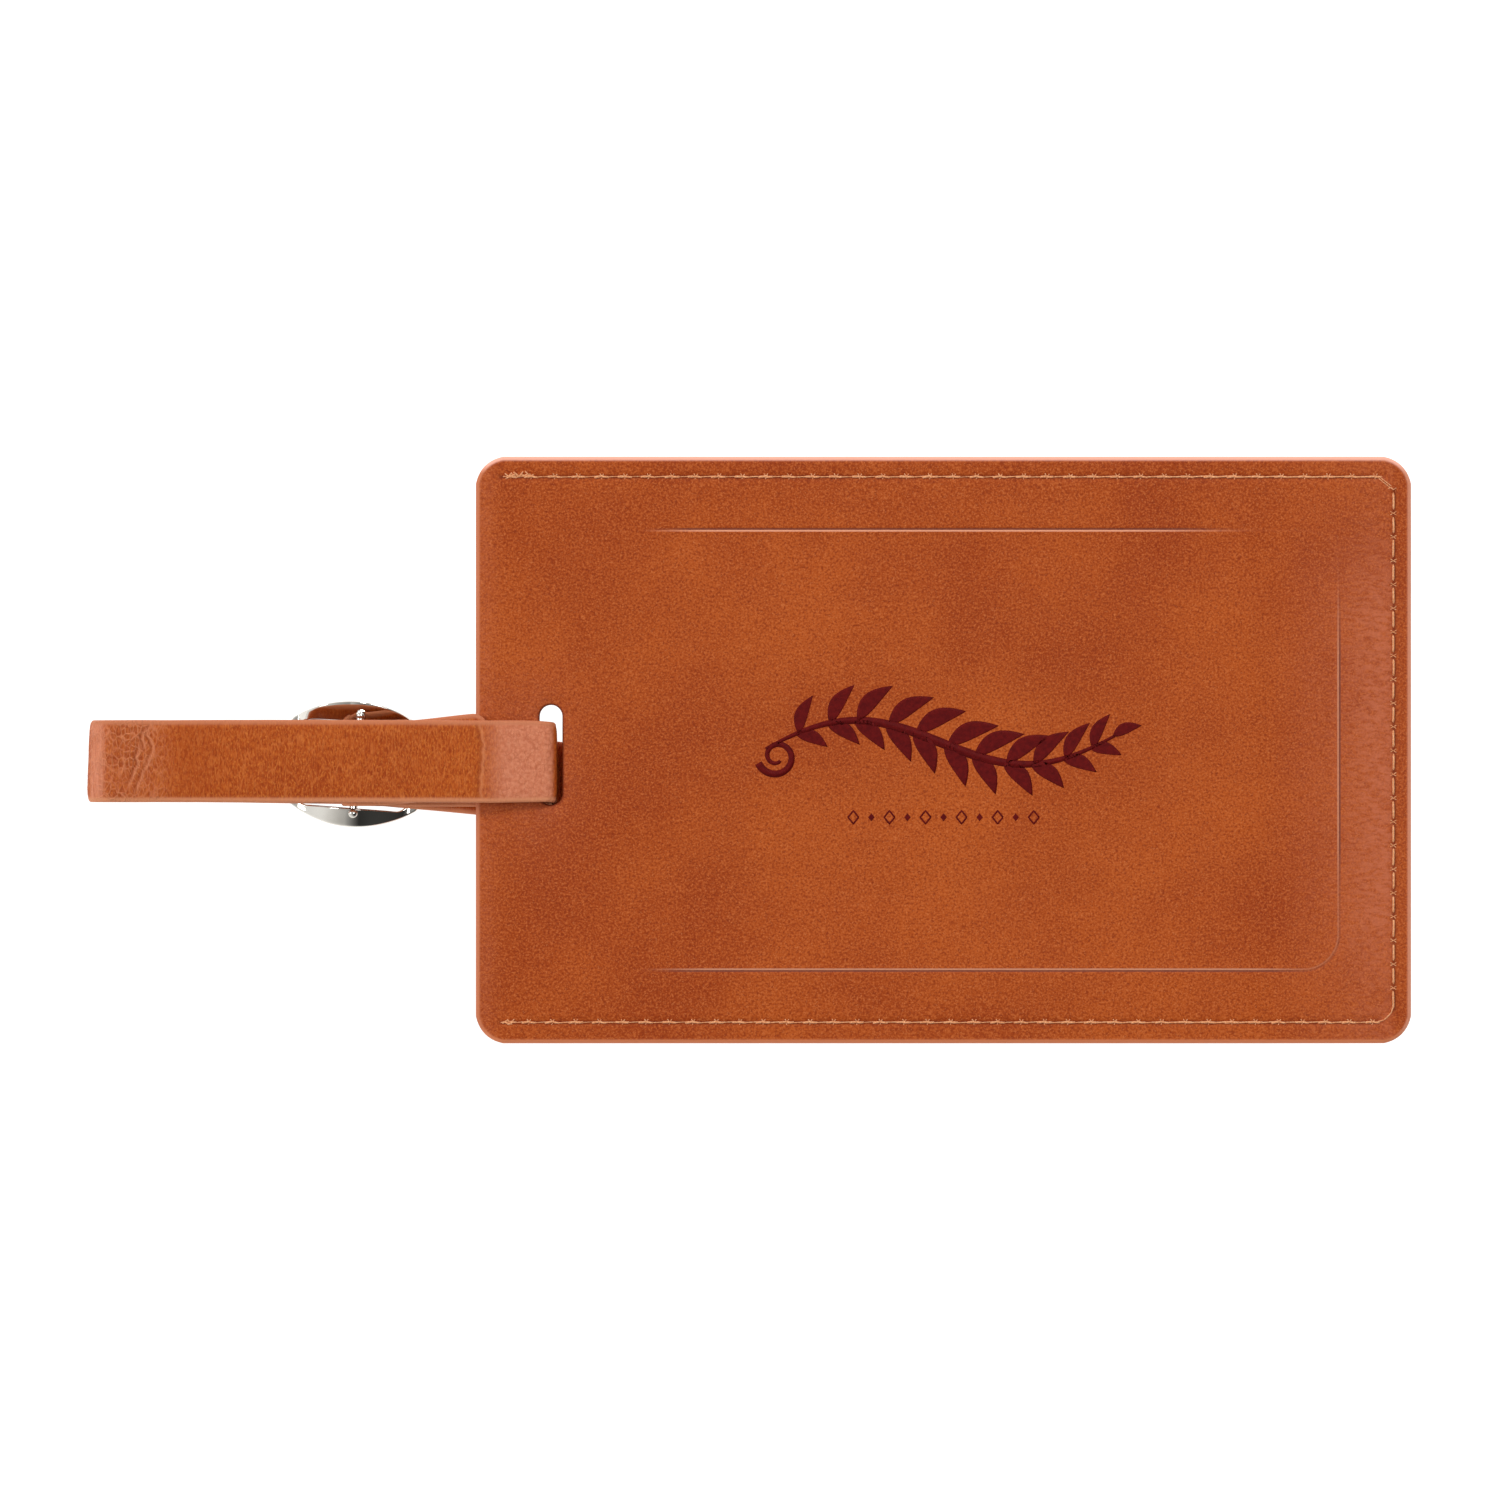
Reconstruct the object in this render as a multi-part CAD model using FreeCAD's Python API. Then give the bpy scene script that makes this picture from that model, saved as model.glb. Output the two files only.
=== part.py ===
import FreeCAD, Part
import math
import os

from FreeCAD import Vector as V

# Luggage tag: a stitched two-panel tag with a clear pocket on its back and a
# buckled strap looped through its slot. Millimetres, +Z up, tag lying face up.
# Origin: centre of the whole object's footprint, on the surface it lies on.

# ---------------------------------------------------------------- dimensions
# tag panels
TAG_X0, TAG_X1 = -32.18, 77.82      # left and right edge
TAG_HALF_Y = 34.5
TAG_CORNER_R = 3.2
BACK_Z0, PANEL_MEET_Z, FRONT_Z1 = 2.6, 3.8, 5.0
EDGE_ROUND = 0.45

# stiffener board in a shallow recess between the panels
BOARD_X0, BOARD_X1, BOARD_HALF_Y = -17.5, 73.6, 30.4
BOARD_T, BOARD_GAP, BOARD_R = 0.5, 0.04, 2.0

# strap slot in the tag
SLOT_X, SLOT_W = -23.35, 2.70
SLOT_Y0, SLOT_Y1 = -6.45, 5.30

# clear pocket welded on three sides to the back panel, open towards the slot
POCKET_X0, POCKET_X1, POCKET_HALF_Y = -12.2, 70.6, 27.2
WELD_W, VINYL_T, POCKET_DEPTH = 2.05, 0.35, 0.50
POCKET_R = 4.2

# paper card
CARD_X0, CARD_X1, CARD_HALF_Y = -13.0, 68.2, 24.8
CARD_Z0, CARD_T, CARD_R = 2.2, 0.3, 1.2

# stitching
STITCH_PITCH, STITCH_LEN, THREAD_R = 2.75, 2.15, 0.17
ROW_TOP_Y, ROW_BOTTOM_Y, ROW_RIGHT_X = 32.12, -32.0, 75.7
ROW_X_START, ROW_X_END, ROW_Y_END = -29.4, 73.7, 30.4

# strap
STRAP_T = 1.0
RUN_Y0, RUN_Y1 = -6.20, 3.45        # front run and slot turn
TAIL_Y0, TAIL_Y1 = -6.20, 3.00      # returning tail
FOLD_Y0, FOLD_Y1 = -6.55, 3.05      # part folded round the bar
FLAP_YAW, TAIL_YAW = 4.9, -6.0      # degrees
LOOP_END_X = -77.82                 # outer face of the left bend
LOOP_TOP_Z = 6.7
SLOT_RUN_X = -23.15                 # centreline of the strap inside the slot
CREASE_X, CREASE_Z = -31.1, 6.65
FLEX_X0, FLEX_X1 = -35.7, -32.7     # gap where the strap flexes at the tag's edge
TAIL_TIP_X, FLAP_TIP_X = -17.5, -30.7
HOLE_R, HOLE_PITCH, HOLE_X, HOLE_Y = 1.5, 8.0, -50.5, -1.5

# buckle (built square to the axes, then turned)
BUCKLE_YAW = -4.5
BAR_X, BAR_Y, BAR_Z, BAR_R, BAR_HALF = -46.2, -1.70, 3.75, 0.50, 6.30
BAR_HOLE_R = 0.52
FRAME_CX = -0.4                     # frame centre from the bar
FRAME_HALF_X, FRAME_HALF_Y, FRAME_END_HALF_Y = 7.94, 7.42, 4.3
FRAME_SHOULDER_X, FRAME_SHOULDER_Y = 7.35, 5.2
INNER_HALF_X, INNER_HALF_Y, INNER_R = 6.5, 5.40, 1.3
RIM_Z0, RIM_Z1 = 0.40, 1.22
ARCH_Z0, ARCH_Z1 = 3.05, 4.45
PRONG_T, PRONG_W, PRONG_RING_R, PRONG_RING_BORE = 0.8, 1.1, 1.25, 0.56


# ------------------------------------------------------------------- helpers
def rounded_rect(x0, x1, y0, y1, z0, z1, r):
    """Plate with four rounded vertical corners."""
    box = Part.makeBox(x1 - x0, y1 - y0, z1 - z0, V(x0, y0, z0))
    if r <= 0:
        return box
    upright = [e for e in box.Edges
               if abs(e.Vertexes[0].X - e.Vertexes[1].X) < 1e-6
               and abs(e.Vertexes[0].Y - e.Vertexes[1].Y) < 1e-6]
    return box.makeFillet(r, upright)


def slot_cutter(z0, z1, grow=0.0):
    r = SLOT_W / 2 + grow
    a, b = SLOT_Y0 + SLOT_W / 2, SLOT_Y1 - SLOT_W / 2
    body = Part.makeBox(2 * r, b - a, z1 - z0, V(SLOT_X - r, a, z0))
    for y in (a, b):
        body = body.fuse(Part.makeCylinder(r, z1 - z0, V(SLOT_X, y, z0)))
    return body.removeSplitter()


def ribbon(path, t, y0, y1):
    """Flat strip swept along an X-Z path of (x, z, bend radius), between y0 and y1."""
    pts = [V(p[0], 0, p[1]) for p in path]
    runs = []                       # ("line", a, b) or ("arc", a, mid, b, centre, turn)
    here = pts[0]
    for i in range(1, len(pts) - 1):
        r = path[i][2]
        d0 = (pts[i] - pts[i - 1]).normalize()
        d1 = (pts[i + 1] - pts[i]).normalize()
        turn = math.acos(max(-1.0, min(1.0, d0.dot(d1))))
        if turn < 1e-6:
            continue
        cut = r * math.tan(turn / 2)
        a, b = pts[i] - d0 * cut, pts[i] + d1 * cut
        side = 1 if (d0.z * d1.x - d0.x * d1.z) > 0 else -1
        normal = V(d0.z, 0, -d0.x) * side
        centre = a + normal * r
        bis = (pts[i] - centre).normalize()
        runs.append(("line", here, a))
        runs.append(("arc", a, centre + bis * r, b, centre, side))
        here = b
    runs.append(("line", here, pts[-1]))

    def offset(k):
        """Edges of the path moved sideways by k, as seen along the path."""
        out = []
        for run in runs:
            if run[0] == "line":
                a, b = run[1], run[2]
                if (b - a).Length < 1e-5:
                    continue
                d = (b - a).normalize()
                n = V(d.z, 0, -d.x)
                out.append(("line", a + n * k, b + n * k))
            else:
                _, a, m, b, c, side = run
                r = (a - c).Length
                s = (r - k * side) / r
                out.append(("arc", c + (a - c) * s, c + (m - c) * s, c + (b - c) * s))
        return out

    def edges(items, back=False):
        found = []
        for it in items:
            p = it[1:] if not back else it[:0:-1]
            if it[0] == "line":
                found.append(Part.makeLine(p[0], p[-1]))
            else:
                found.append(Part.Arc(p[0], p[1], p[2]).toShape())
        return found

    one, two = offset(t / 2), offset(-t / 2)
    loop = edges(one)
    loop.append(Part.makeLine(one[-1][-1], two[-1][-1]))
    loop += edges(two[::-1], back=True)
    loop.append(Part.makeLine(two[0][1], one[0][1]))
    face = Part.Face(Part.Wire(Part.sortEdges(loop)[0]))
    face.translate(V(0, y0, 0))
    solid = face.extrude(V(0, y1 - y0, 0))
    return solid


def turned(shape, yaw, x, y):
    s = shape.copy()
    s.rotate(V(x, y, 0), V(0, 0, 1), yaw)
    return s


def left_of(shape, x):
    return shape.common(Part.makeBox(200, 200, 60, V(x - 200, -100, -20)))


def right_of(shape, x):
    return shape.common(Part.makeBox(200, 200, 60, V(x, -100, -20)))


def rounded_end(shape, x_end, y0, y1, r, yaw=0.0, px=0.0, py=0.0):
    """Keeps a strap's free end inside an outline with two rounded corners."""
    keep = rounded_rect(x_end - 150, x_end, y0 - 0.001, y1 + 0.001, -20, 40, r)
    return shape.common(turned(keep, yaw, px, py))


parts = {}

# ---------------------------------------------------------------- tag panels
front = rounded_rect(TAG_X0, TAG_X1, -TAG_HALF_Y, TAG_HALF_Y,
                     PANEL_MEET_Z, FRONT_Z1, TAG_CORNER_R)
rim = [e for e in front.Edges
       if all(abs(v.Z - FRONT_Z1) < 1e-6 for v in e.Vertexes)]
front = front.makeFillet(EDGE_ROUND, rim)
back = rounded_rect(TAG_X0, TAG_X1, -TAG_HALF_Y, TAG_HALF_Y,
                    BACK_Z0, PANEL_MEET_Z, TAG_CORNER_R)
rim = [e for e in back.Edges
       if all(abs(v.Z - BACK_Z0) < 1e-6 for v in e.Vertexes)]
back = back.makeFillet(EDGE_ROUND, rim)
recess = BOARD_T / 2 + BOARD_GAP / 2
hollow = rounded_rect(BOARD_X0 - BOARD_GAP, BOARD_X1 + BOARD_GAP,
                      -BOARD_HALF_Y - BOARD_GAP, BOARD_HALF_Y + BOARD_GAP,
                      PANEL_MEET_Z - recess, PANEL_MEET_Z + recess, BOARD_R)
slot = slot_cutter(BACK_Z0 - 1, FRONT_Z1 + 1)
parts["front_panel"] = front.cut(hollow).cut(slot)
parts["back_panel"] = back.cut(hollow).cut(slot)
parts["stiffener_board"] = rounded_rect(
    BOARD_X0, BOARD_X1, -BOARD_HALF_Y, BOARD_HALF_Y,
    PANEL_MEET_Z - BOARD_T / 2, PANEL_MEET_Z + BOARD_T / 2, BOARD_R)

# -------------------------------------------------------------- clear pocket
pocket = rounded_rect(POCKET_X0, POCKET_X1, -POCKET_HALF_Y, POCKET_HALF_Y,
                      BACK_Z0 - POCKET_DEPTH - VINYL_T, BACK_Z0, POCKET_R)
square_left = Part.makeBox(POCKET_R + 1, 2 * POCKET_HALF_Y, POCKET_DEPTH + VINYL_T,
                           V(POCKET_X0, -POCKET_HALF_Y, BACK_Z0 - POCKET_DEPTH - VINYL_T))
pocket = pocket.fuse(square_left)
inside = rounded_rect(POCKET_X0 - 10, POCKET_X1 - WELD_W,
                      -POCKET_HALF_Y + WELD_W, POCKET_HALF_Y - WELD_W,
                      BACK_Z0 - POCKET_DEPTH, BACK_Z0 + 1, POCKET_R - WELD_W)
parts["clear_pocket"] = pocket.cut(inside).removeSplitter()

parts["id_card"] = rounded_rect(CARD_X0, CARD_X1, -CARD_HALF_Y, CARD_HALF_Y,
                                CARD_Z0, CARD_Z0 + CARD_T, CARD_R)


# ----------------------------------------------------------------- stitching
def stitch_rows(z):
    """One short length of thread per stitch, along the top, right and bottom edges."""
    solids = []
    for y in (ROW_TOP_Y, ROW_BOTTOM_Y):
        n = int((ROW_X_END - ROW_X_START) / STITCH_PITCH)
        for i in range(n + 1):
            x = ROW_X_START + i * STITCH_PITCH
            if x + STITCH_LEN > ROW_X_END + 0.6:
                break
            solids.append(Part.makeCylinder(THREAD_R, STITCH_LEN, V(x, y, z), V(1, 0, 0)))
    n = int(2 * ROW_Y_END / STITCH_PITCH)
    for i in range(n + 1):
        y = -ROW_Y_END + i * STITCH_PITCH
        if y + STITCH_LEN > ROW_Y_END + 0.6:
            break
        solids.append(Part.makeCylinder(THREAD_R, STITCH_LEN,
                                        V(ROW_RIGHT_X, y, z), V(0, 1, 0)))
    return Part.makeCompound(solids)


parts["needle_thread"] = stitch_rows(FRONT_Z1 + THREAD_R + 0.005)
parts["bobbin_thread"] = stitch_rows(BACK_Z0 - THREAD_R - 0.005)

# --------------------------------------------------------------------- strap
half = STRAP_T / 2
run_z = LOOP_TOP_Z - half
tail_z = half
bend_r = (run_z - tail_z) / 2
bend_x = LOOP_END_X + half

# the part that goes over the tag's edge, down through the slot and back below
slot_turn = ribbon([(-36.0, CREASE_Z, 0), (CREASE_X, CREASE_Z, 3.0),
                    (SLOT_RUN_X, FRONT_Z1 + 0.62, 0.9), (SLOT_RUN_X, 1.95, 0.9),
                    (-36.0, 1.95, 0)], STRAP_T, RUN_Y0, RUN_Y1)
parts["strap_slot_turn"] = right_of(slot_turn, FLEX_X1)

# front run, left bend and the tail that comes back through the buckle
front_run = ribbon([(-33.0, CREASE_Z, 0), (-42.0, 6.55, 8.0), (-62.0, run_z, 10.0),
                    (bend_x, run_z, bend_r), (bend_x, tail_z, bend_r),
                    (-73.0, tail_z, 0)], STRAP_T, RUN_Y0, RUN_Y1)
tail_path = [(-74.4, tail_z, 0), (-64.0, tail_z, 6.0), (-55.5, 2.15, 4.0),
             (-52.2, 2.15, 3.0), (-49.0, 1.20, 3.0), (-44.0, 1.20, 3.0),
             (-41.0, 2.15, 2.0), (-38.6, 2.15, 2.0), (-35.3, 0.85, 2.0),
             (-30.0, 0.85, 0)]
tail = ribbon(tail_path, STRAP_T, TAIL_Y0, TAIL_Y1)
for i in (-1, 0, 1, 2):
    x = HOLE_X - i * HOLE_PITCH
    tail = tail.cut(Part.makeCylinder(HOLE_R, 12, V(x, HOLE_Y, -4)))
parts["strap_run"] = left_of(front_run.fuse(tail), FLEX_X0).removeSplitter()

# the tail's free end below the tag, turned a little
tip = ribbon([(-40.0, 0.85, 0), (TAIL_TIP_X, 0.85, 0)], STRAP_T, TAIL_Y0 - 0.5, TAIL_Y1 - 0.2)
tip = rounded_end(tip, TAIL_TIP_X, TAIL_Y0 - 0.5, TAIL_Y1 - 0.2, 4.2)
parts["strap_tail_tip"] = right_of(turned(tip, TAIL_YAW, -38.0, -1.9), FLEX_X1)

# the end folded round the buckle's bar, with a slot for the prong
bar_gap = 1.5                       # bar centre to the strap's centreline
fold = ribbon([(-30.0, 1.95, 0), (-35.0, 1.95, 2.0), (-38.6, 3.34, 2.0),
               (-41.2, 3.34, 2.0), (-44.2, BAR_Z - bar_gap, 2.0),
               (BAR_X - bar_gap, BAR_Z - bar_gap, bar_gap),
               (BAR_X - bar_gap, BAR_Z + bar_gap, bar_gap),
               (BAR_X + 0.6, BAR_Z + bar_gap, 0)], STRAP_T, FOLD_Y0, FOLD_Y1)
flap = ribbon([(BAR_X + 0.2, BAR_Z + bar_gap, 0), (-40.5, BAR_Z + bar_gap, 6.0),
               (-36.0, 5.53, 4.0), (-20.0, 5.53, 0)], STRAP_T, FOLD_Y0, FOLD_Y1)
flap_body = turned(flap, FLAP_YAW, BAR_X, BAR_Y)
prong_slot = Part.makeBox(4.6, 2.2, 20, V(BAR_X - 2.6, BAR_Y - 1.1, -5))
parts["strap_fold"] = left_of(fold.fuse(flap_body), FLEX_X0).cut(prong_slot).removeSplitter()
flap_tip = rounded_end(flap, FLAP_TIP_X, FOLD_Y0, FOLD_Y1, 1.6)
parts["strap_flap_tip"] = right_of(turned(flap_tip, FLAP_YAW, BAR_X, BAR_Y), FLEX_X1)

# -------------------------------------------------------------------- buckle
# outline: two flat arcs joined by rounded shoulders and short straight ends
sx, sy, hx, hy, ey = (FRAME_SHOULDER_X, FRAME_SHOULDER_Y, FRAME_HALF_X,
                      FRAME_HALF_Y, FRAME_END_HALF_Y)


def p(x, y):
    return V(BAR_X + FRAME_CX + x, BAR_Y + y, 0)


outline = Part.Wire([
    Part.Arc(p(-sx, sy), p(0, hy), p(sx, sy)).toShape(),
    Part.Arc(p(sx, sy), p(hx - 0.14, (sy + ey) / 2 + 0.06), p(hx, ey)).toShape(),
    Part.makeLine(p(hx, ey), p(hx, -ey)),
    Part.Arc(p(hx, -ey), p(hx - 0.14, -(sy + ey) / 2 - 0.06), p(sx, -sy)).toShape(),
    Part.Arc(p(sx, -sy), p(0, -hy), p(-sx, -sy)).toShape(),
    Part.Arc(p(-sx, -sy), p(-hx + 0.14, -(sy + ey) / 2 - 0.06), p(-hx, -ey)).toShape(),
    Part.makeLine(p(-hx, -ey), p(-hx, ey)),
    Part.Arc(p(-hx, ey), p(-hx + 0.14, (sy + ey) / 2 + 0.06), p(-sx, sy)).toShape(),
])
slab = Part.Face(outline).extrude(V(0, 0, 8))
slab.translate(V(0, 0, -1))
window = rounded_rect(BAR_X + FRAME_CX - INNER_HALF_X, BAR_X + FRAME_CX + INNER_HALF_X,
                      BAR_Y - INNER_HALF_Y, BAR_Y + INNER_HALF_Y, -2, 9, INNER_R)
slab = slab.cut(window)

# side view: low end rims, side arms arched up to carry the bar
n = 24
low, high = [], []
for i in range(n + 1):
    u = -hx - 0.2 + (2 * hx + 0.4) * i / n
    f = math.cos(math.pi / 2 * min(1.0, abs(u) / (hx - 0.9))) ** 1.7 if abs(u) < hx - 0.9 else 0.0
    low.append(V(BAR_X + FRAME_CX + u, 0, RIM_Z0 + (ARCH_Z0 - RIM_Z0) * f))
    high.append(V(BAR_X + FRAME_CX + u, 0, RIM_Z1 + (ARCH_Z1 - RIM_Z1) * f))
arch = Part.Face(Part.makePolygon(low + high[::-1] + [low[0]]))
arch.translate(V(0, BAR_Y - 12, 0))
arch = arch.extrude(V(0, 24, 0))
frame = slab.common(arch)
frame = frame.cut(Part.makeCylinder(BAR_HOLE_R, 2 * BAR_HALF + 0.04,
                                    V(BAR_X, BAR_Y - BAR_HALF - 0.02, BAR_Z), V(0, 1, 0)))
notch = Part.makeBox(3, PRONG_W + 0.5, 0.5, V(BAR_X + FRAME_CX - hx - 1, BAR_Y - PRONG_W / 2 - 0.25,
                                              RIM_Z0 - 0.02))
frame = frame.cut(notch)
bar = Part.makeCylinder(BAR_R, 2 * BAR_HALF, V(BAR_X, BAR_Y - BAR_HALF, BAR_Z), V(0, 1, 0))
parts["buckle_frame"] = turned(frame, BUCKLE_YAW, BAR_X, BAR_Y)
parts["buckle_bar"] = turned(bar, BUCKLE_YAW, BAR_X, BAR_Y)

prong = ribbon([(BAR_X - 0.85, 3.50, 0), (BAR_X - 3.1, 3.10, 1.0),
                (BAR_X - 4.9, 0.90, 1.0), (BAR_X - 6.4, 0.40, 1.0),
                (BAR_X - 8.3, 0.40, 0)], PRONG_T, BAR_Y - PRONG_W / 2, BAR_Y + PRONG_W / 2)
ring = Part.makeCylinder(PRONG_RING_R, PRONG_W, V(BAR_X, BAR_Y - PRONG_W / 2, BAR_Z), V(0, 1, 0))
bore = Part.makeCylinder(PRONG_RING_BORE, PRONG_W + 2, V(BAR_X, BAR_Y - PRONG_W / 2 - 1, BAR_Z),
                         V(0, 1, 0))
prong = prong.fuse(ring).cut(bore).removeSplitter()
parts["buckle_prong"] = turned(prong, BUCKLE_YAW, BAR_X, BAR_Y)

# -------------------------------------------------------------------- output
os.makedirs("parts", exist_ok=True)
for name in sorted(parts):
    shape = parts[name]
    solids = shape.Solids
    if len(solids) == 1:
        shape = solids[0]
    shape.exportStep("parts/" + name + ".step")
    b = shape.BoundBox
    print("%-18s solids %3d valid %s volume %9.2f  x %7.2f %7.2f  y %7.2f %7.2f  z %6.2f %6.2f"
          % (name, len(solids), shape.isValid(), shape.Volume,
             b.XMin, b.XMax, b.YMin, b.YMax, b.ZMin, b.ZMax))
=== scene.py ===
import math

import bpy
import numpy as np
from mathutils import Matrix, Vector


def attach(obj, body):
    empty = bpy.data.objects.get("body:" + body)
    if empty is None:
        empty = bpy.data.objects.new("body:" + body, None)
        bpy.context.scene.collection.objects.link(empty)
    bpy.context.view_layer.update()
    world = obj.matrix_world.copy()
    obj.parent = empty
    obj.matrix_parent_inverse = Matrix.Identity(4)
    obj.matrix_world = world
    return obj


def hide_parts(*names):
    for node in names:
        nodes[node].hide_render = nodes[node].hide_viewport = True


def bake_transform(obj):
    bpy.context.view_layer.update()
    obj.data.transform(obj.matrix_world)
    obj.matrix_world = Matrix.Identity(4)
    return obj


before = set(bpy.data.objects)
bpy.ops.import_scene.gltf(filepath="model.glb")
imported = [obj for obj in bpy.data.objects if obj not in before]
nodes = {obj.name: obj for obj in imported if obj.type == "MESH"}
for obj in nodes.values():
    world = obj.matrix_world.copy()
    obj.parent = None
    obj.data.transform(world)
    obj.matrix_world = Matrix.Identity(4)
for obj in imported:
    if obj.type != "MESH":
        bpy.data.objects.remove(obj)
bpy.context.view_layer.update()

MM = 0.001
rng = np.random.default_rng(7)

# ------------------------------------------------------------------ dimensions (mm, as in the CAD)
TAG_X0, TAG_X1, TAG_Y = -32.18, 77.82, 34.5
CORNER_R = 3.2
BACK_Z0, MEET_Z, FRONT_Z1 = 2.6, 3.8, 5.0
SLOT_X, SLOT_HW, SLOT_Y0, SLOT_Y1 = -23.35, 1.35, -6.45, 5.30
PRESS_X1, PRESS_Y, PRESS_R, PRESS_X0 = 69.28, 25.88, 4.2, -12.0
ROW_TOP, ROW_BOT, ROW_RIGHT = 32.12, -32.0, 75.7
PITCH = 2.755
BAR = np.array([-46.2, -1.70, 3.75])
YAW = math.radians(-4.5)


# ------------------------------------------------------------------ small helpers
def srgb(r, g, b):
    out = []
    for c in (r, g, b):
        c /= 255.0
        out.append(c / 12.92 if c <= 0.04045 else ((c + 0.055) / 1.055) ** 2.4)
    return (*out, 1.0)


def make_mesh(name, verts_mm, faces, smooth=True, attrs=None, uv=None):
    me = bpy.data.meshes.new(name)
    v = np.asarray(verts_mm, float) * MM
    me.from_pydata(v.tolist(), [], [tuple(int(i) for i in f) for f in faces])
    me.validate()
    if smooth:
        me.polygons.foreach_set("use_smooth", [True] * len(me.polygons))
    for key, values in (attrs or {}).items():
        a = me.attributes.new(key, "FLOAT", "POINT")
        a.data.foreach_set("value", np.asarray(values, np.float32))
    if uv is not None:
        layer = me.uv_layers.new(name="UVMap")
        idx = np.zeros(len(me.loops), np.int32)
        me.loops.foreach_get("vertex_index", idx)
        layer.data.foreach_set("uv", np.asarray(uv, np.float32)[idx].reshape(-1))
    me.update()
    ob = bpy.data.objects.new(name, me)
    bpy.context.scene.collection.objects.link(ob)
    return ob


def noise2(x, y, seed, octaves=1):
    """Smooth value noise over arrays, repeatable."""
    total, amp, norm = np.zeros(np.shape(x)), 1.0, 0.0
    x, y = np.asarray(x, float), np.asarray(y, float)
    for o in range(octaves):
        g = np.random.default_rng(seed + 31 * o).uniform(-1, 1, (64, 64))
        xi, yi = np.floor(x).astype(int), np.floor(y).astype(int)
        fx, fy = x - xi, y - yi
        fx, fy = fx * fx * (3 - 2 * fx), fy * fy * (3 - 2 * fy)
        a, b = g[xi % 64, yi % 64], g[(xi + 1) % 64, yi % 64]
        c, d = g[xi % 64, (yi + 1) % 64], g[(xi + 1) % 64, (yi + 1) % 64]
        total += amp * ((a * (1 - fx) + b * fx) * (1 - fy) + (c * (1 - fx) + d * fx) * fy)
        norm += amp
        amp *= 0.5
        x, y = x * 2.03 + 5.7, y * 2.03 + 9.1
    return total / norm


def step01(x, a, b):
    t = np.clip((np.asarray(x, float) - a) / (b - a), 0, 1)
    return t * t * (3 - 2 * t)


def lines(start, *spans):
    """Grid lines from start through (end, step) spans, hitting every end exactly."""
    out = [start]
    for end, step in spans:
        n = max(1, int(round((end - out[-1]) / step)))
        out += list(np.linspace(out[-1], end, n + 1)[1:])
    return np.array(out)


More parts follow.
